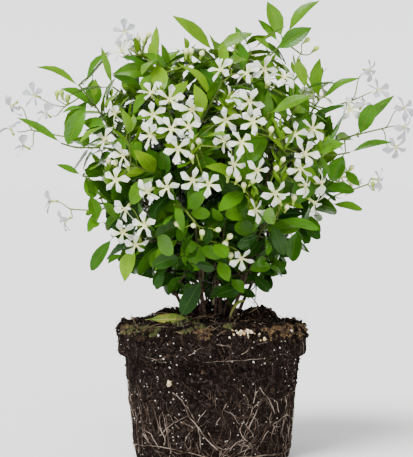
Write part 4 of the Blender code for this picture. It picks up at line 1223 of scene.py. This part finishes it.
def read_leaves(name):
    """Each leaf of a CAD node, found by its tip, where just three edges meet."""
    shape = shape_of_node(name)
    leaves = []
    for tip in shape.verts:
        ring = around([tip], [tip])
        if len(ring) != 3:
            continue
        wide, i, j = max(sides_of(ring))
        if wide < LEAST_LEAF_WIDTH or min(sides_of(ring))[0] < LEAST_LEAF_SIDE:
            continue
        after = around(ring, ring + [tip])
        if len(after) != 3:
            continue
        wide_after, m, n = max(sides_of(after))
        keel = ring[3 - i - j].co
        kind = "round" if wide_after / wide > ROUNDNESS else "plain"
        near, far, far_half = CAD_ROWS[kind]
        first = (after[m].co + after[n].co) / 2
        second = (ring[i].co + ring[j].co) / 2
        length = (second - first).length / (far - near)
        heading = (second - first).normalized()
        onward = (tip.co - second).normalized()
        droop = 2 * heading.angle(onward) / (1 - near)
        across = heading.cross(square_to(heading, second - keel)).normalized()
        up = across.cross(heading)
        bend = droop * (near + far) / 2
        direction = heading * math.cos(bend) + up * math.sin(bend)
        face = up * math.cos(bend) - heading * math.sin(bend)
        half_bend = droop * near / 2
        to_first = direction * math.cos(half_bend) - face * math.sin(half_bend)
        root = first - to_first * near * length - direction * PETIOLE
        slim = FAR_LEAF_SLIMNESS if share_of_crown(tip.co) > FAR_OUT else 1.0
        look = None
        for x, z, longer, wider, outline, age in KNOWN_LEAVES:
            miss = math.hypot(tip.co.x / MM - x, tip.co.z / MM - z)
            if miss < KNOWN_WITHIN and tip.co.y < KNOWN_DEPTH:
                length *= longer
                slim = wider
                look = (outline, age)
        leaves.append(Leaf(root, direction, face, length, wide / far_half * slim, droop))
        leaves[-1].look = look
    shape.free()
    return leaves


# The leaves are the CAD's own, each in its place, and others between them that the CAD has no room for.
stem_leaves = [read_leaves(f"leafy_stem_{number + 1}") for number in range(LEADER_COUNT)]

cad_points, cad_faces = [], []
for name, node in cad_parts.items():
    first = len(cad_points)
    cad_points.extend(v.co.copy() for v in node.data.vertices)
    cad_faces.extend(tuple(k + first for k in p.vertices) for p in node.data.polygons)
cad_tree = BVHTree.FromPolygons(cad_points, cad_faces)


# Where the oldest stem shows between the low leaves: no added leaf may hide it.
SHOWN_WOOD = [place for place in smoothed(*stems[0][0])[0] if 122 * MM < place.z < 178 * MM]


class Room:
    """The leaves added so far, so that no leaf crosses another or anything of the plant."""

    def __init__(self):
        self.middles = []
        self.trees = []

    def take(self, leaf):
        """Whether a leaf's place is free. If it is, it's taken from then on."""
        points, faces = leaf.probe()
        tree = BVHTree.FromPolygons(points, faces)
        if min(p.z for p in points) < LOWEST_LEAF or tree.overlap(cad_tree):
            return False
        if any(tree.ray_cast(EYE, (place - EYE).normalized(), (place - EYE).length)[0]
               for place in SHOWN_WOOD):
            return False
        middle = sum(points, Vector()) / len(points)
        for other, other_tree in zip(self.middles, self.trees):
            if (other - middle).length < NEIGHBOURHOOD and tree.overlap(other_tree):
                return False
        self.middles.append(middle)
        self.trees.append(tree)
        return True


def is_inside(place):
    """Whether a leaf's tip here keeps the plant's outline: in the crown, or in its narrow foot."""
    high = place.z - FOOT_BOTTOM
    in_foot = 0 < high < FOOT_HEIGHT and place.xy.length < FOOT_RADIUS + high * 1.7
    return in_foot or share_of_crown(place) < 1.0


def try_leaf(room, root, heading, turn, size, draw):
    """A leaf that leaves its stem to one side, tried at other angles until it is clear."""
    out = (root - CROWN_CENTRE).normalized()
    side_hint = square_to(heading, UP + out * 0.3)
    for attempt in range(ROOM_TRIES):
        spread = math.radians(draw.uniform(38, 80))
        swing = turn + draw.uniform(-0.35, 0.35) * (1 + attempt * 0.4)
        side = Matrix.Rotation(swing, 3, heading) @ side_hint
        direction = (heading * math.cos(spread) + side * math.sin(spread)).normalized()
        face = square_to(direction, out * 0.7 + UP * 0.6 + stray(draw) * 0.5)
        scale = size * draw.uniform(0.85, 1.12) * (1 - 0.03 * attempt)
        leaf = Leaf(root, direction, face, LEAF_LENGTH * scale,
                    LEAF_WIDTH * scale * draw.uniform(0.92, 1.2), math.radians(draw.uniform(15, 60)))
        tip = root + direction * (LEAF_LENGTH * scale + PETIOLE)
        if is_inside(tip) and room.take(leaf):
            return leaf
    return None


def along_path(path, share):
    """The place and heading at a share of a stem's length."""
    lengths = [(b - a).length for a, b in zip(path, path[1:])]
    left = share * sum(lengths)
    for k, length in enumerate(lengths):
        if left <= length or k == len(lengths) - 1:
            heading = (path[k + 1] - path[k]).normalized()
            return path[k] + heading * min(left, length), heading
        left -= length


def leafy_stretch(room, path, shares, size, draw):
    """Pairs of leaves at these shares of a stem, each pair square to the one before it."""
    grown = []
    for k, share in enumerate(shares):
        root, heading = along_path(path, share)
        for side in (0, math.pi):
            leaf = try_leaf(room, root, heading, k * math.pi / 2 + side + draw.uniform(-0.3, 0.3),
                            size, draw)
            if leaf is not None:
                grown.append(leaf)
    return grown


def nearest_stem(place):
    """How near to a place the nearest wood is, the number of its leader, and the point on it."""
    best = None
    for number, group in enumerate(stems):
        for path, _ in group:
            for a, b in zip(path[1:], path[2:]):
                side = b - a
                share = min(1, max(0, (place - a).dot(side) / side.length_squared))
                point = a + side * share
                if best is None or (point - place).length < best[0]:
                    best = ((point - place).length, number, point)
    return best


def way_is_clear(host, place):
    """Whether a twig may run from a stem to a place without going through a leaf or flower."""
    away = place - host
    start = host + away.normalized() * 3 * MM
    return away.length < 4 * MM or cad_tree.ray_cast(start, away.normalized(),
                                                     away.length - 3 * MM)[0] is None


def grow_new_shoot(base, tip, number, host, draw):
    """A thin green stalk with three pairs of small upright leaves, which crowd at its tip."""
    heading = (tip - base).normalized()
    reach = (tip - base).length
    stalk = bezier(host, host.lerp(base, 0.4) + UP * 2 * MM, base - heading * 4 * MM, base, 5)
    stalk = stalk + [base.lerp(tip, 0.35), base.lerp(tip, 0.7)]
    extra_twigs[number].append((stalk, [(0.7 - 0.05 * j) * MM for j in range(len(stalk))]))
    first = draw.uniform(0, HALF_TURN)
    for pair, share in enumerate((0.0, 0.35, 0.7)):
        for side in (0, math.pi):
            turn = Matrix.Rotation(first + pair * math.pi / 2 + side, 3, heading)
            spread = math.radians(draw.uniform(18, 38) - 6 * pair)
            out = turn @ heading.orthogonal().normalized()
            direction = heading * math.cos(spread) + out * math.sin(spread)
            length = reach * (0.95 - 0.2 * pair) * draw.uniform(0.8, 1.1)
            leaf = Leaf(base.lerp(tip, share), direction, square_to(direction, heading - out),
                        length, length * 0.42, math.radians(draw.uniform(5, 25)), 1.5 * MM)
            leaf.look = ("pointed", draw.uniform(0.85, 1.0))
            extra_leaves[number].append(leaf)


draw = random.Random(5)
room = Room()
extra_twigs = [[] for _ in stems]
extra_leaves = [[] for _ in stems]

# Each placed leaf is tried at a few depths, until it has room and its twig's way to it is clear.
for foot, point, width, depth, turn, outline, age in PLACED_LEAVES:
    for change in (0, 6, -6, 12, -12, 18):
        base = seen_from_front(foot[0] * MM, foot[1] * MM, (change - depth) * MM)
        tip = seen_from_front(point[0] * MM, point[1] * MM, (change - depth - 6) * MM)
        droop = math.radians(28 + 0.3 * abs(turn))
        direction = (tip - base).normalized()
        face = square_to(direction, (EYE - base).normalized() + UP * 0.5)
        face = Matrix.Rotation(math.radians(turn), 3, direction) @ face
        direction = direction * math.cos(droop / 2) + face * math.sin(droop / 2)
        face = square_to(direction, face)
        leaf = Leaf(base - direction * PETIOLE, direction, face, (tip - base).length * 1.02,
                    width * MM, droop)
        distance, number, host = nearest_stem(leaf.root)
        if way_is_clear(host, leaf.root) and room.take(leaf):
            break
    else:
        continue
    leaf.look = (outline, age)
    extra_leaves[number].append(leaf)
    middle = (host + leaf.root) / 2 + UP * distance * 0.12
    twig = bezier(host, host.lerp(middle, 0.7), middle.lerp(leaf.root, 0.3), leaf.root, 5)
    extra_twigs[number].append((twig, [(0.8 - 0.05 * j) * MM for j in range(len(twig))]))

# Each new shoot at the front stands where its line of sight enters the crown.
shoot_places = []
for foot, point in NEW_SHOOTS:
    for depth in range(-100, 1, 4):
        base = seen_from_front(foot[0] * MM, foot[1] * MM, depth * MM)
        if share_of_crown(base) < 0.93:
            shoot_places.append((base, seen_from_front(point[0] * MM, point[1] * MM,
                                                       (depth - 3) * MM)))
            break
for k in range(NEW_SHOOTS_BEHIND):
    base = on_crown(math.pi * (k + 0.5) / NEW_SHOOTS_BEHIND, draw.uniform(-0.1, 1.0), 0.92)
    shoot_places.append((base, base + (UP * 17 + (base - CROWN_CENTRE).normalized() * 6) * MM))
for base, tip in shoot_places:
    _, number, host = nearest_stem(base)
    grow_new_shoot(base, tip, number, host, draw)

# Suckers come up from the soil between the stems.
for k in range(SUCKER_COUNT):
    azimuth = 2 * math.pi * (k + draw.uniform(-0.3, 0.3)) / SUCKER_COUNT
    foot = on_circle(azimuth, 1) * draw.uniform(13, 21) * MM
    foot.z = soil_top(foot.x, foot.y) - 5 * MM
    tip = on_crown(azimuth + draw.uniform(-0.5, 0.5), -0.45, draw.uniform(0.5, 0.75))
    number = nearest_stem(foot + UP * 10 * MM)[1]
    sucker = bezier(foot, foot + UP * 25 * MM, tip - (tip - foot) * 0.3 - UP * 4 * MM, tip, 9)
    extra_twigs[number].append((sucker, [(1.15 - 0.04 * j) * MM for j in range(len(sucker))]))
    extra_leaves[number] += leafy_stretch(room, sucker, (0.97, 0.8, 0.66, 0.54, 0.43), 0.62, draw)

# Pairs of leaves stand along each stem, and on twigs that fill the crown and its foot.
for number, group in enumerate(stems):
    for path, _ in group:
        is_leader = path is group[0][0]
        start = 0.16 if is_leader else 0.18
        shares = [start + (0.9 - start) * k / 7 for k in range(8)]
        extra_leaves[number] += leafy_stretch(room, path, shares, 0.8, draw)
for k in range(CROWN_TWIGS + LOW_TWIGS):
    number = k % LEADER_COUNT
    low = k < LOW_TWIGS
    path = (stems[number][0] if low else draw.choice(stems[number]))[0]
    is_leader = path is stems[number][0][0]
    lowest = 0.22 if is_leader else 0.12
    root, heading = along_path(path, draw.uniform(0.1, 0.4) if low else draw.uniform(lowest, 0.9))
    out = Vector((root.x, root.y, 0)).normalized() if root.xy.length > 1e-4 else Vector((1, 0, 0))
    away = (heading * 0.5 + out * 0.5 + stray(draw) * (1.2 if low else 0.9)
            - UP * (0.3 if low else 0.0)).normalized()
    reach = draw.uniform(8, 30 if low else 42) * MM
    tip = root + away * reach
    if not is_inside(tip) or (share_of_crown(tip) > 0.93 and not low) or not way_is_clear(root, tip):
        continue
    twig = bezier(root, root + (heading + away).normalized() * reach * 0.4,
                  tip - (away + UP * 0.3).normalized() * reach * 0.3, tip, 6)
    grown = leafy_stretch(room, twig, (0.99, 0.62, 0.35), 0.62 if low else 0.95, draw)
    if grown:
        extra_leaves[number] += grown
        extra_twigs[number].append((twig, [(0.75 - 0.05 * j) * MM for j in range(len(twig))]))

leaf_finish = Finish("leaf_top", Roughness=0.30, Specular_IOR_Level=0.12)
under_finish = Finish("leaf_under", Roughness=0.55, Specular_IOR_Level=0.05)
for finish, is_top in ((leaf_finish, True), (under_finish, False)):
    age = finish.attribute("youth")
    tint = finish.attribute("tint")
    across = finish.attribute("across").size()
    along = finish.attribute("along")
    mottle = finish.place.grain(120, 3)
    broad_tone_and_shade = finish.place.grain(42, 1)
    if is_top:
        old = tint.blend((0.0055, 0.0290, 0.0022), (0.0145, 0.0630, 0.0035))
        mid = tint.blend((0.0350, 0.1400, 0.0040), (0.0760, 0.2080, 0.0055))
        new = tint.blend((0.0900, 0.2050, 0.0035), (0.1400, 0.2650, 0.0050))
    else:
        old = tint.blend((0.0130, 0.0380, 0.0080), (0.0220, 0.0600, 0.0110))
        mid = tint.blend((0.0420, 0.1150, 0.0150), (0.0680, 0.1550, 0.0200))
        new = tint.blend((0.0950, 0.2000, 0.0180), (0.1550, 0.2650, 0.0260))
    green = age.between(0.5, 1.0).blend(age.between(0.0, 0.5).blend(old, mid), new)
    deep = age.blend((0.0040, 0.0170, 0.0020), (0.0500, 0.1250, 0.0050))
    # The fine mottle toward deep green is the leaf's own. The broad patches are partly its own uneven
    # tone and partly painted shade, standing in for the shading across a leaf.
    green = (mottle.between(0.3, 0.8) * 0.32 + broad_tone_and_shade.between(0.42, 0.66) * 0.44).blend(green, deep)
    vein_line = along.sum("FRACT", across * -1.9 + along * 8.0)
    vein = 1 - vein_line.between(0.0, 0.10) * (1 - vein_line.between(0.90, 1.0))
    rib = 1 - across.between(0.03, 0.10)
    # The leaf's edges are painted paler: a painted highlight along the rim.
    rim = across.between(0.88, 1.0) * along.between(0.02, 0.1)
    light = age.blend((0.045, 0.105, 0.012), (0.20, 0.32, 0.022))
    green = (vein * 0.16).blend(green, light)
    green = (rib * 0.38).blend(green, light)
    green = (rim * 0.30).blend(green, light)
    finish.feed("Base Color", green)
    finish.bump(vein * -0.5 - rib * 1.0 + mottle * 0.8, 0.35 * MM, 0.8)
leaf_finish.feed("Roughness", 0.14 + leaf_finish.place.grain(300, 2) * 0.16)

templates = {name: flat_leaf(f"{name}_leaf", outline) for name, outline in LEAF_OUTLINES.items()}
flat_points = {name: points_of(leaf) for name, leaf in templates.items()}


def youth_of(leaf, draw):
    """0 for an old dark leaf deep inside or low down, 1 for a new one at the very outside."""
    tip = leaf.root + leaf.direction * leaf.length
    out = share_of_crown(tip)
    high = (tip.z - 185 * MM) / (205 * MM)
    lucky = 0.3 if draw.random() < 0.15 and tip.z > 200 * MM else 0.0
    youth = (out - 0.57) * 0.85 + high * 0.64 + lucky + draw.gauss(0, 0.21)
    return min(0.95, max(0, youth)) * min(1, max(0.35, (tip.z - 117 * MM) / (125 * MM)))


bows = random.Random(77)
for number, group in enumerate(stems):
    by_kind = {"pointed": [], "round": []}
    for leaf in stem_leaves[number] + extra_leaves[number]:
        if leaf.look is None:
            tip_height = (leaf.root + leaf.direction * leaf.length).z
            odds = (tip_height - 175 * MM) / (110 * MM)
            leaf.look = ("pointed" if draw.random() < odds else "round", youth_of(leaf, draw))
        by_kind[leaf.look[0]].append(leaf)
    bunches = []
    for kind, leaves in by_kind.items():
        if not leaves:
            continue
        shapes = [leaf.bend(flat_points[kind], fold=draw.uniform(0.8, 3.1) * leaf.width / LEAF_WIDTH,
                            wave=draw.uniform(0.0, 0.8), turn=draw.uniform(0, 6),
                            sweep=bows.uniform(0.0, 0.11 if kind == "pointed" else 0.05))
                  for leaf in leaves]
        values = {"youth": [leaf.look[1] for leaf in leaves],
                  "tint": [draw.random() for leaf in leaves]}
        bunches.append(join_copies("leaves", templates[kind], shapes, values))
    leaves = joined(bunches)
    paint(leaves, leaf_finish, under_finish)
    hand_over(leaves, f"leaves_{number + 1}", None, "leaf", f"leafy_stem_{number + 1}")

    lines = [smoothed(path, radii) for path, radii in group] + extra_twigs[number]
    if number == 0:
        oldest = tubes("wood", [lines.pop(0)], sides=2)
        hand_over(oldest, "oldest_stem", old_finish_painted_sunlight, "root", "leafy_stem_1")
    wood = tubes("wood", lines)
    hand_over(wood, f"wood_{number + 1}", bark_finish, "root", f"leafy_stem_{number + 1}")


# The fallen leaf. One old leaf has dropped on the soil at the front left and turned yellow-green,
# with brown edges. It lies curled where it fell.

fallen = copy_of_node("fallen_leaf")
shape = [v.co.copy() for v in fallen.data.vertices]
bpy.data.objects.remove(fallen)
foot = min(shape, key=lambda co: co.x)
point = max(shape, key=lambda co: co.x)
heading = (point - foot).normalized()
facing = square_to(heading, Vector((-0.1, -0.75, 1)))
curl = math.radians(20)
direction = heading * math.cos(curl / 2) + facing * math.sin(curl / 2)
facing = square_to(direction, facing)
laid = Leaf(foot - direction * PETIOLE * 0.9 + UP * 0.8 * MM, direction, facing, 34 * MM, 17 * MM, curl)
fallen = join_copies("fallen", templates["pointed"],
                     [laid.bend(flat_points["pointed"], fold=1.6, wave=1.0, turn=1.0)])
fallen_finish = Finish("yellowed_leaf", Roughness=0.5, Specular_IOR_Level=0.15)
across = fallen_finish.attribute("across").size()
blotch = fallen_finish.place.grain(170, 3)
yellow = blotch.between(0.38, 0.62).blend((0.070, 0.125, 0.015), (0.17, 0.18, 0.028))
edge = across.between(0.6, 1.0) * blotch.between(0.35, 0.6)
yellow = edge.blend(yellow, (0.10, 0.050, 0.014))
yellow = (1 - across.between(0.04, 0.14)).blend(yellow, (0.24, 0.24, 0.07))
fallen_finish.feed("Base Color", yellow)
fallen_finish.bump(fallen_finish.place.grain(500, 3), 0.3 * MM)
paint(fallen, fallen_finish, fallen_finish)
hand_over(fallen, "yellow_leaf", None, "litter", "fallen_leaf")


# The flowers. Sprays of white pinwheels, five petals twisted one way on a thin tube, and of plump
# cream buds. Each spray grows on one green stalk from a stem, with a fine stalk to each flower.

FLOWER_RADIUS = 12.3 * MM
TUBE_LENGTH = 8 * MM
BUD_LENGTH = 9 * MM
BUD_RADIUS = 2.3 * MM
STALK_RADIUS = 1.0 * MM
SEAT_STEP = 2.6
SPRAY_COUNT = 37
FOOT_SHARE = 0.96
# From this share of the crown outwards, blooms get greyer petals, which is painted shade, and lime buds.
OUTER_BLOOMS_FROM = 1.12

# Rows of a petal from its foot outwards: distance from the middle, width, shift to the right, the
# rise of its middle, and how much higher its left edge is than its right, all in mm.
PETAL_ROWS = [(1.2, 1.7, 0.0, -1.4, 0.0), (2.8, 2.0, 0.0, -0.2, 0.2), (5.2, 3.4, 0.2, 0.4, 0.8),
              (7.7, 5.3, 0.4, 0.5, 1.4), (9.8, 6.1, 0.6, 0.2, 1.7), (11.5, 5.0, 0.8, -0.3, 1.6),
              (12.6, 2.4, 0.9, -0.8, 1.1)]
PETAL_THICKNESS = 0.36 * MM
TUBE_PROFILE = [(0.7, -1.9), (2.2, -0.55), (2.2, -0.85), (1.15, -2.2), (0.95, -4.6), (1.15, -6.2),
                (0.85, -7.4)]
CALYX_PROFILE = [(1.35, -6.4), (1.2, -7.3), (0.8, -8.3)]
BUD_PROFILE = [(0.9, -0.25), (1.7, -1.0), (2.25, -2.3), (2.2, -3.6), (1.5, -5.0), (1.0, -6.6),
               (0.95, -8.0), (0.6, -9.0)]


def turned(name, sides, profile, pole):
    """A round body made by drawing a ring out along a profile of (radius, height) in mm.

    pole is how far above the first ring the middle of its end lies, in mm."""
    radius, height = profile[0]
    bpy.ops.mesh.primitive_circle_add(vertices=sides, radius=radius * MM,
                                      location=(0, 0, height * MM))
    body = bpy.context.object
    body.name = name
    apply_places([body])
    bpy.ops.object.mode_set(mode="EDIT")
    bpy.ops.mesh.select_all(action="SELECT")
    bpy.ops.mesh.extrude_region_move(TRANSFORM_OT_translate={"value": (0, 0, pole * MM)})
    bpy.ops.mesh.merge(type="CENTER")
    bpy.ops.mesh.select_all(action="DESELECT")
    bpy.ops.object.mode_set(mode="OBJECT")
    for vertex in body.data.vertices:
        vertex.select = vertex.co.xy.length > 0.1 * MM
    bpy.ops.object.mode_set(mode="EDIT")
    for (before, low), (after, high) in zip(profile, profile[1:]):
        bpy.ops.mesh.extrude_region_move(TRANSFORM_OT_translate={"value": (0, 0, (high - low) * MM)})
        bpy.ops.transform.resize(value=(after / before, after / before, 1),
                                 center_override=(0, 0, high * MM))
    bpy.ops.mesh.edge_face_add()
    bpy.ops.object.mode_set(mode="OBJECT")
    edit(body, face_outwards)
    bpy.ops.object.shade_smooth()
    return body


def open_flower(name, cup, draw):
    """Five copies of one petal round a tube and its calyx. cup lifts the petals' ends, in mm."""
    bpy.ops.mesh.primitive_grid_add(x_subdivisions=4, y_subdivisions=len(PETAL_ROWS) - 1, size=2)
    petal = bpy.context.object
    last = len(PETAL_ROWS) - 1
    step = 2 / last
    across = [vertex.co.x for vertex in petal.data.vertices]
    along = [(vertex.co.y + 1) / 2 for vertex in petal.data.vertices]
    for k, (_, width, _, _, _) in enumerate(PETAL_ROWS):
        widen(petal, -1 + step * k, step / 4, width / 2 * MM)
    for vertex, side in zip(petal.data.vertices, across):
        k = round((vertex.co.y + 1) / step)
        vertex.co.y = PETAL_ROWS[k][0] * MM
        vertex.co.z = PETAL_THICKNESS / 2 * (1 - side ** 4) * (0 < k < last)
    note_shares(petal, across=across, along=along)
    close_sheet(petal)
    flat = points_of(petal)
    outs, widths, shifts, rises, tilts = np.array(PETAL_ROWS).T
    petals = []
    for k in range(5):
        out = flat[:, 1] / MM
        side = flat[:, 0] / MM / (np.interp(out, outs, widths) / 2)
        part = out / FLOWER_RADIUS * MM
        lift = cup + draw.uniform(-1.0, 1.0)
        twist = draw.uniform(0.7, 2.0)
        curl = draw.uniform(-0.3, 1.3)
        bent = np.empty_like(flat)
        bent[:, 0] = flat[:, 0] / MM + np.interp(out, outs, shifts)
        bent[:, 1] = out - side ** 2 * part ** 4 * 1.4 + np.minimum(side, 0) * part ** 3 * 0.5
        bent[:, 2] = (flat[:, 2] / MM + np.interp(out, outs, rises) + lift * part ** 2
                      - np.interp(out, outs, tilts) / 2 * side * twist
                      + curl * side ** 2 * part)
        turn = np.array(Matrix.Rotation(2 * math.pi * k / 5 + draw.uniform(-0.09, 0.09), 3, "Z"))
        petals.append(join_copies("petal", petal, [bent * draw.uniform(0.94, 1.02) * MM @ turn.T]))
    bpy.data.objects.remove(petal)
    flower = joined(petals)
    tube = turned("tube", 8, TUBE_PROFILE, pole=-0.2)
    calyx = turned("calyx", 5, CALYX_PROFILE, pole=0.1)
    for k, part in enumerate((flower, tube, calyx)):
        paint(part, petal_finish, tube_finish)
        part.data.polygons.foreach_set("material_index", [min(k, 1)] * len(part.data.polygons))
        if k:
            ends = [vertex.co.z / -TUBE_LENGTH for vertex in part.data.vertices]
            note_shares(part, along=ends, across=[0.0] * len(ends))
    joined([flower, tube, calyx])
    flower.name = name
    edit(flower, face_outwards)
    bpy.ops.object.shade_smooth_by_angle(angle=math.radians(60))
    return flower


def closed_bud(name):
    bud = turned(name, 8, BUD_PROFILE, pole=0.25)
    for vertex in bud.data.vertices:
        angle = math.atan2(vertex.co.y, vertex.co.x) + vertex.co.z / MM * 0.25
        swell = 1 + 0.07 * math.cos(5 * angle)
        vertex.co.x *= swell
        vertex.co.y *= swell
    ends = [vertex.co.z / -BUD_LENGTH for vertex in bud.data.vertices]
    note_shares(bud, along=ends, across=[0.0] * len(ends))
    return bud


petal_finish = Finish("petal", Roughness=0.55, Specular_IOR_Level=0.3)
along = petal_finish.attribute("along")
across = petal_finish.attribute("across")
silk = petal_finish.place.grain(420, 3)
white = silk.between(0.3, 0.7).blend((0.74, 0.78, 0.66), (0.88, 0.90, 0.82))
streaks = across.sum("SINE", across * 14.0)
shadow = streaks.between(0.0, 0.9) * (1 - along.between(0.50, 1.10)) * 0.8
white = shadow.blend(white, (0.22, 0.29, 0.14))
# Soft grey patches over the petals: painted shade, standing in for the shading from one petal to the
# next.
white = (petal_finish.place.grain(130, 2).between(0.48, 0.66) * 0.6).blend(white, (0.26, 0.29, 0.29))
# The inner part of each petal is cream-green, its own colour, and it is made darker than that cream:
# painted shade towards the flower's middle as well.
cream = along.between(0.06, 0.55).blend((0.62, 0.66, 0.28), white)
colour = along.between(0.0, 0.07).blend((0.62, 0.44, 0.12), cream)
# Petals of blooms far out in the crown are made greyer: painted shade, as though those blooms stood in
# shade.
petal_finish.feed("Base Color", (petal_finish.attribute("outer_shade_and_lime") * 0.85).blend(
    colour, (0.36, 0.36, 0.41)))
petal_finish.bump(streaks * 0.25 + silk, 0.25 * MM, 0.7)

tube_finish = Finish("flower_tube", Roughness=0.5, Specular_IOR_Level=0.2)
along = tube_finish.attribute("along")
green = along.between(0.55, 1.0).blend((0.60, 0.62, 0.24), (0.16, 0.26, 0.03))
green = along.between(0.05, 0.30).blend((0.84, 0.78, 0.46), green)
soft = tube_finish.place.grain(500, 2)
tube_finish.feed("Base Color", (soft.between(0.3, 0.8) * 0.5).blend(green, (0.40, 0.46, 0.12)))
tube_finish.bump(soft, 0.2 * MM)

bud_finish = Finish("bud", Roughness=0.45, Specular_IOR_Level=0.2)
along = bud_finish.attribute("along")
soft = bud_finish.place.grain(300, 2)
cream = soft.between(0.3, 0.7).blend((0.60, 0.64, 0.25), (0.80, 0.80, 0.48))
cream = (bud_finish.attribute("outer_shade_and_lime") * 0.85).blend(cream, (0.34, 0.50, 0.05))  # lime far out
bud_finish.feed("Base Color", along.between(0.22, 0.62).blend(cream, (0.26, 0.38, 0.045)))
bud_finish.bump(soft, 0.2 * MM)

stalk_finish = Finish("flower_stalk", Roughness=0.5, Specular_IOR_Level=0.15)
soft = stalk_finish.place.grain(250, 3)
stalk_finish.feed("Base Color", soft.between(0.3, 0.7).blend((0.070, 0.14, 0.012), (0.20, 0.28, 0.035)))
stalk_finish.bump(soft, 0.2 * MM)


def read_blooms(shape):
    """Open flowers, found by the fifteen edges at their middle, and buds, by their tips."""
    blooms = []
    for vertex in shape.verts:
        ring = around([vertex], [vertex])
        if len(ring) == 15:
            ring.sort(key=lambda other: (other.co - vertex.co).length)
            middle = sum((other.co for other in ring[:5]), Vector()) / 5
            axis = (middle - vertex.co).normalized()
            blooms.append((True, middle, axis, square_to(axis, ring[0].co - middle)))
        elif len(ring) == 3:
            away = [(other.co - vertex.co).length for other in ring]
            girth = (ring[0].co - ring[1].co).length
            if max(away) - min(away) < 0.02 * MM and abs(girth - BUD_RADIUS * math.sqrt(3)) < 0.05 * MM:
                middle = sum((other.co for other in ring), Vector()) / 3
                axis = (vertex.co - middle).normalized()
                blooms.append((False, vertex.co.copy(), axis, axis.orthogonal()))
    return blooms


def stalk_path(host, along, radius, fork):
    away = square_to(along, fork - host)
    start = host + away * (radius + SEAT_GAP)
    reach = (fork - start).length
    onward = (fork - start).normalized()
    return bezier(start, start + away * reach * 0.35, fork - onward * reach * 0.3, fork, 3)


def find_stalk(shape, blooms):
    """The stalk of a spray: the one that ends, as its CAD node does, beside a stem."""
    tree = kdtree.KDTree(len(shape.verts))
    for k, vertex in enumerate(shape.verts):
        tree.insert(vertex.co, k)
    tree.balance()
    middle = sum((place for _, place, _, _ in blooms), Vector()) / len(blooms)
    axis = sum((axis for _, _, axis, _ in blooms), Vector()).normalized()
    best = None
    for depth in (17 * MM, 13 * MM, 22 * MM, 10 * MM):
        fork = middle - axis * depth
        for group in stems:
            for path, radii in group:
                for k in range(2, len(path) - 1):
                    for share in (0.0, 0.5):
                        host = path[k].lerp(path[k + 1], share)
                        if (host - fork).length > 61 * MM:
                            continue
                        radius = radii[k] + (radii[k + 1] - radii[k]) * share
                        along = (path[k + 1] - path[k]).normalized()
                        start = host + square_to(along, fork - host) * (radius + SEAT_GAP)
                        found = tree.find_n(start, 3)
                        miss = max(abs(distance - STALK_RADIUS) for _, _, distance in found)
                        if best is None or miss < best[0]:
                            best = (miss, host, along, radius, fork)
    _, host, along, radius, fork = best
    return host, stalk_path(host, along, radius, fork)


draw = random.Random(41)
flower_kinds = [open_flower(f"flower_{k}", cup, draw)
                for k, cup in enumerate((-2.6, -1.4, -0.4, 0.5, 1.6, 3.2))]
half_way = np.array(Matrix.Rotation(math.radians(36), 3, "Z"))
flower_points = [points_of(flower) @ half_way.T for flower in flower_kinds]
bud_kind = closed_bud("bud")
paint(bud_kind, bud_finish)
bud_points = points_of(bud_kind)

draw = random.Random(17)
for number in range(SPRAY_COUNT):
    node = f"flower_spray_{number + 1:02d}"
    shape = shape_of_node(node)
    blooms = read_blooms(shape)
    host, path = find_stalk(shape, blooms)
    shape.free()
    onward = (path[-1] - path[-2]).normalized()

    def turn_from_stalk(bloom):
        is_open, place, axis, _ = bloom
        return onward.angle(place - axis * (TUBE_LENGTH if is_open else BUD_LENGTH) - path[-1])

    main, radii = smoothed([host] + path, [0.85 * MM] * (len(path) + 1))
    lines = [(main, [0.9 * MM - 0.25 * MM * k / len(main) for k in range(len(main))])]
    parts = []
    for k, (is_open, place, axis, hint) in enumerate(sorted(blooms, key=turn_from_stalk)):
        foot = place - axis * (TUBE_LENGTH if is_open else BUD_LENGTH) * FOOT_SHARE
        back = (0.7 + SEAT_STEP * (k - 1)) * MM if k else 0
        total = sum((b - a).length for a, b in zip(path, path[1:]))
        seat, heading = along_path(path, max(0.2, 1 - back / total))
        reach = (foot - seat).length
        fine = bezier(seat, seat + (heading + (foot - seat).normalized()).normalized() * reach * 0.35,
                      foot - axis * reach * 0.35, foot, 6)
        lines.append((fine, [(0.62 - 0.03 * j) * MM for j in range(len(fine))]))
        lean = stray(draw) * 0.5
        scale = draw.uniform(0.93, 1.03)
        if is_open:
            axis = (axis + lean).normalized()
            kind = draw.randrange(len(flower_kinds))
            template, flat = flower_kinds[kind], flower_points[kind]
        else:
            axis = (axis * 0.45 + lean * 1.3 + UP * 0.9).normalized()
            place = foot + axis * BUD_LENGTH * FOOT_SHARE
            template, flat = bud_kind, bud_points
            scale *= draw.uniform(0.95, 1.2)
        hint = square_to(axis, hint)
        turn = np.array((hint, axis.cross(hint), axis))
        outer_shade_and_lime = [0.0 if share_of_crown(place) < OUTER_BLOOMS_FROM else 1.0]
        parts.append(join_copies("bloom", template, [flat * scale @ turn + np.array(place)],
                                 {"outer_shade_and_lime": outer_shade_and_lime}))
    stalk = tubes("stalks", lines)
    paint(stalk, stalk_finish)
    hand_over(joined(parts + [stalk]), f"spray_{number + 1:02d}", None, "petal", node)

for thing in flower_kinds + [bud_kind] + list(templates.values()):
    bpy.data.objects.remove(thing)

bpy.context.view_layer.update()
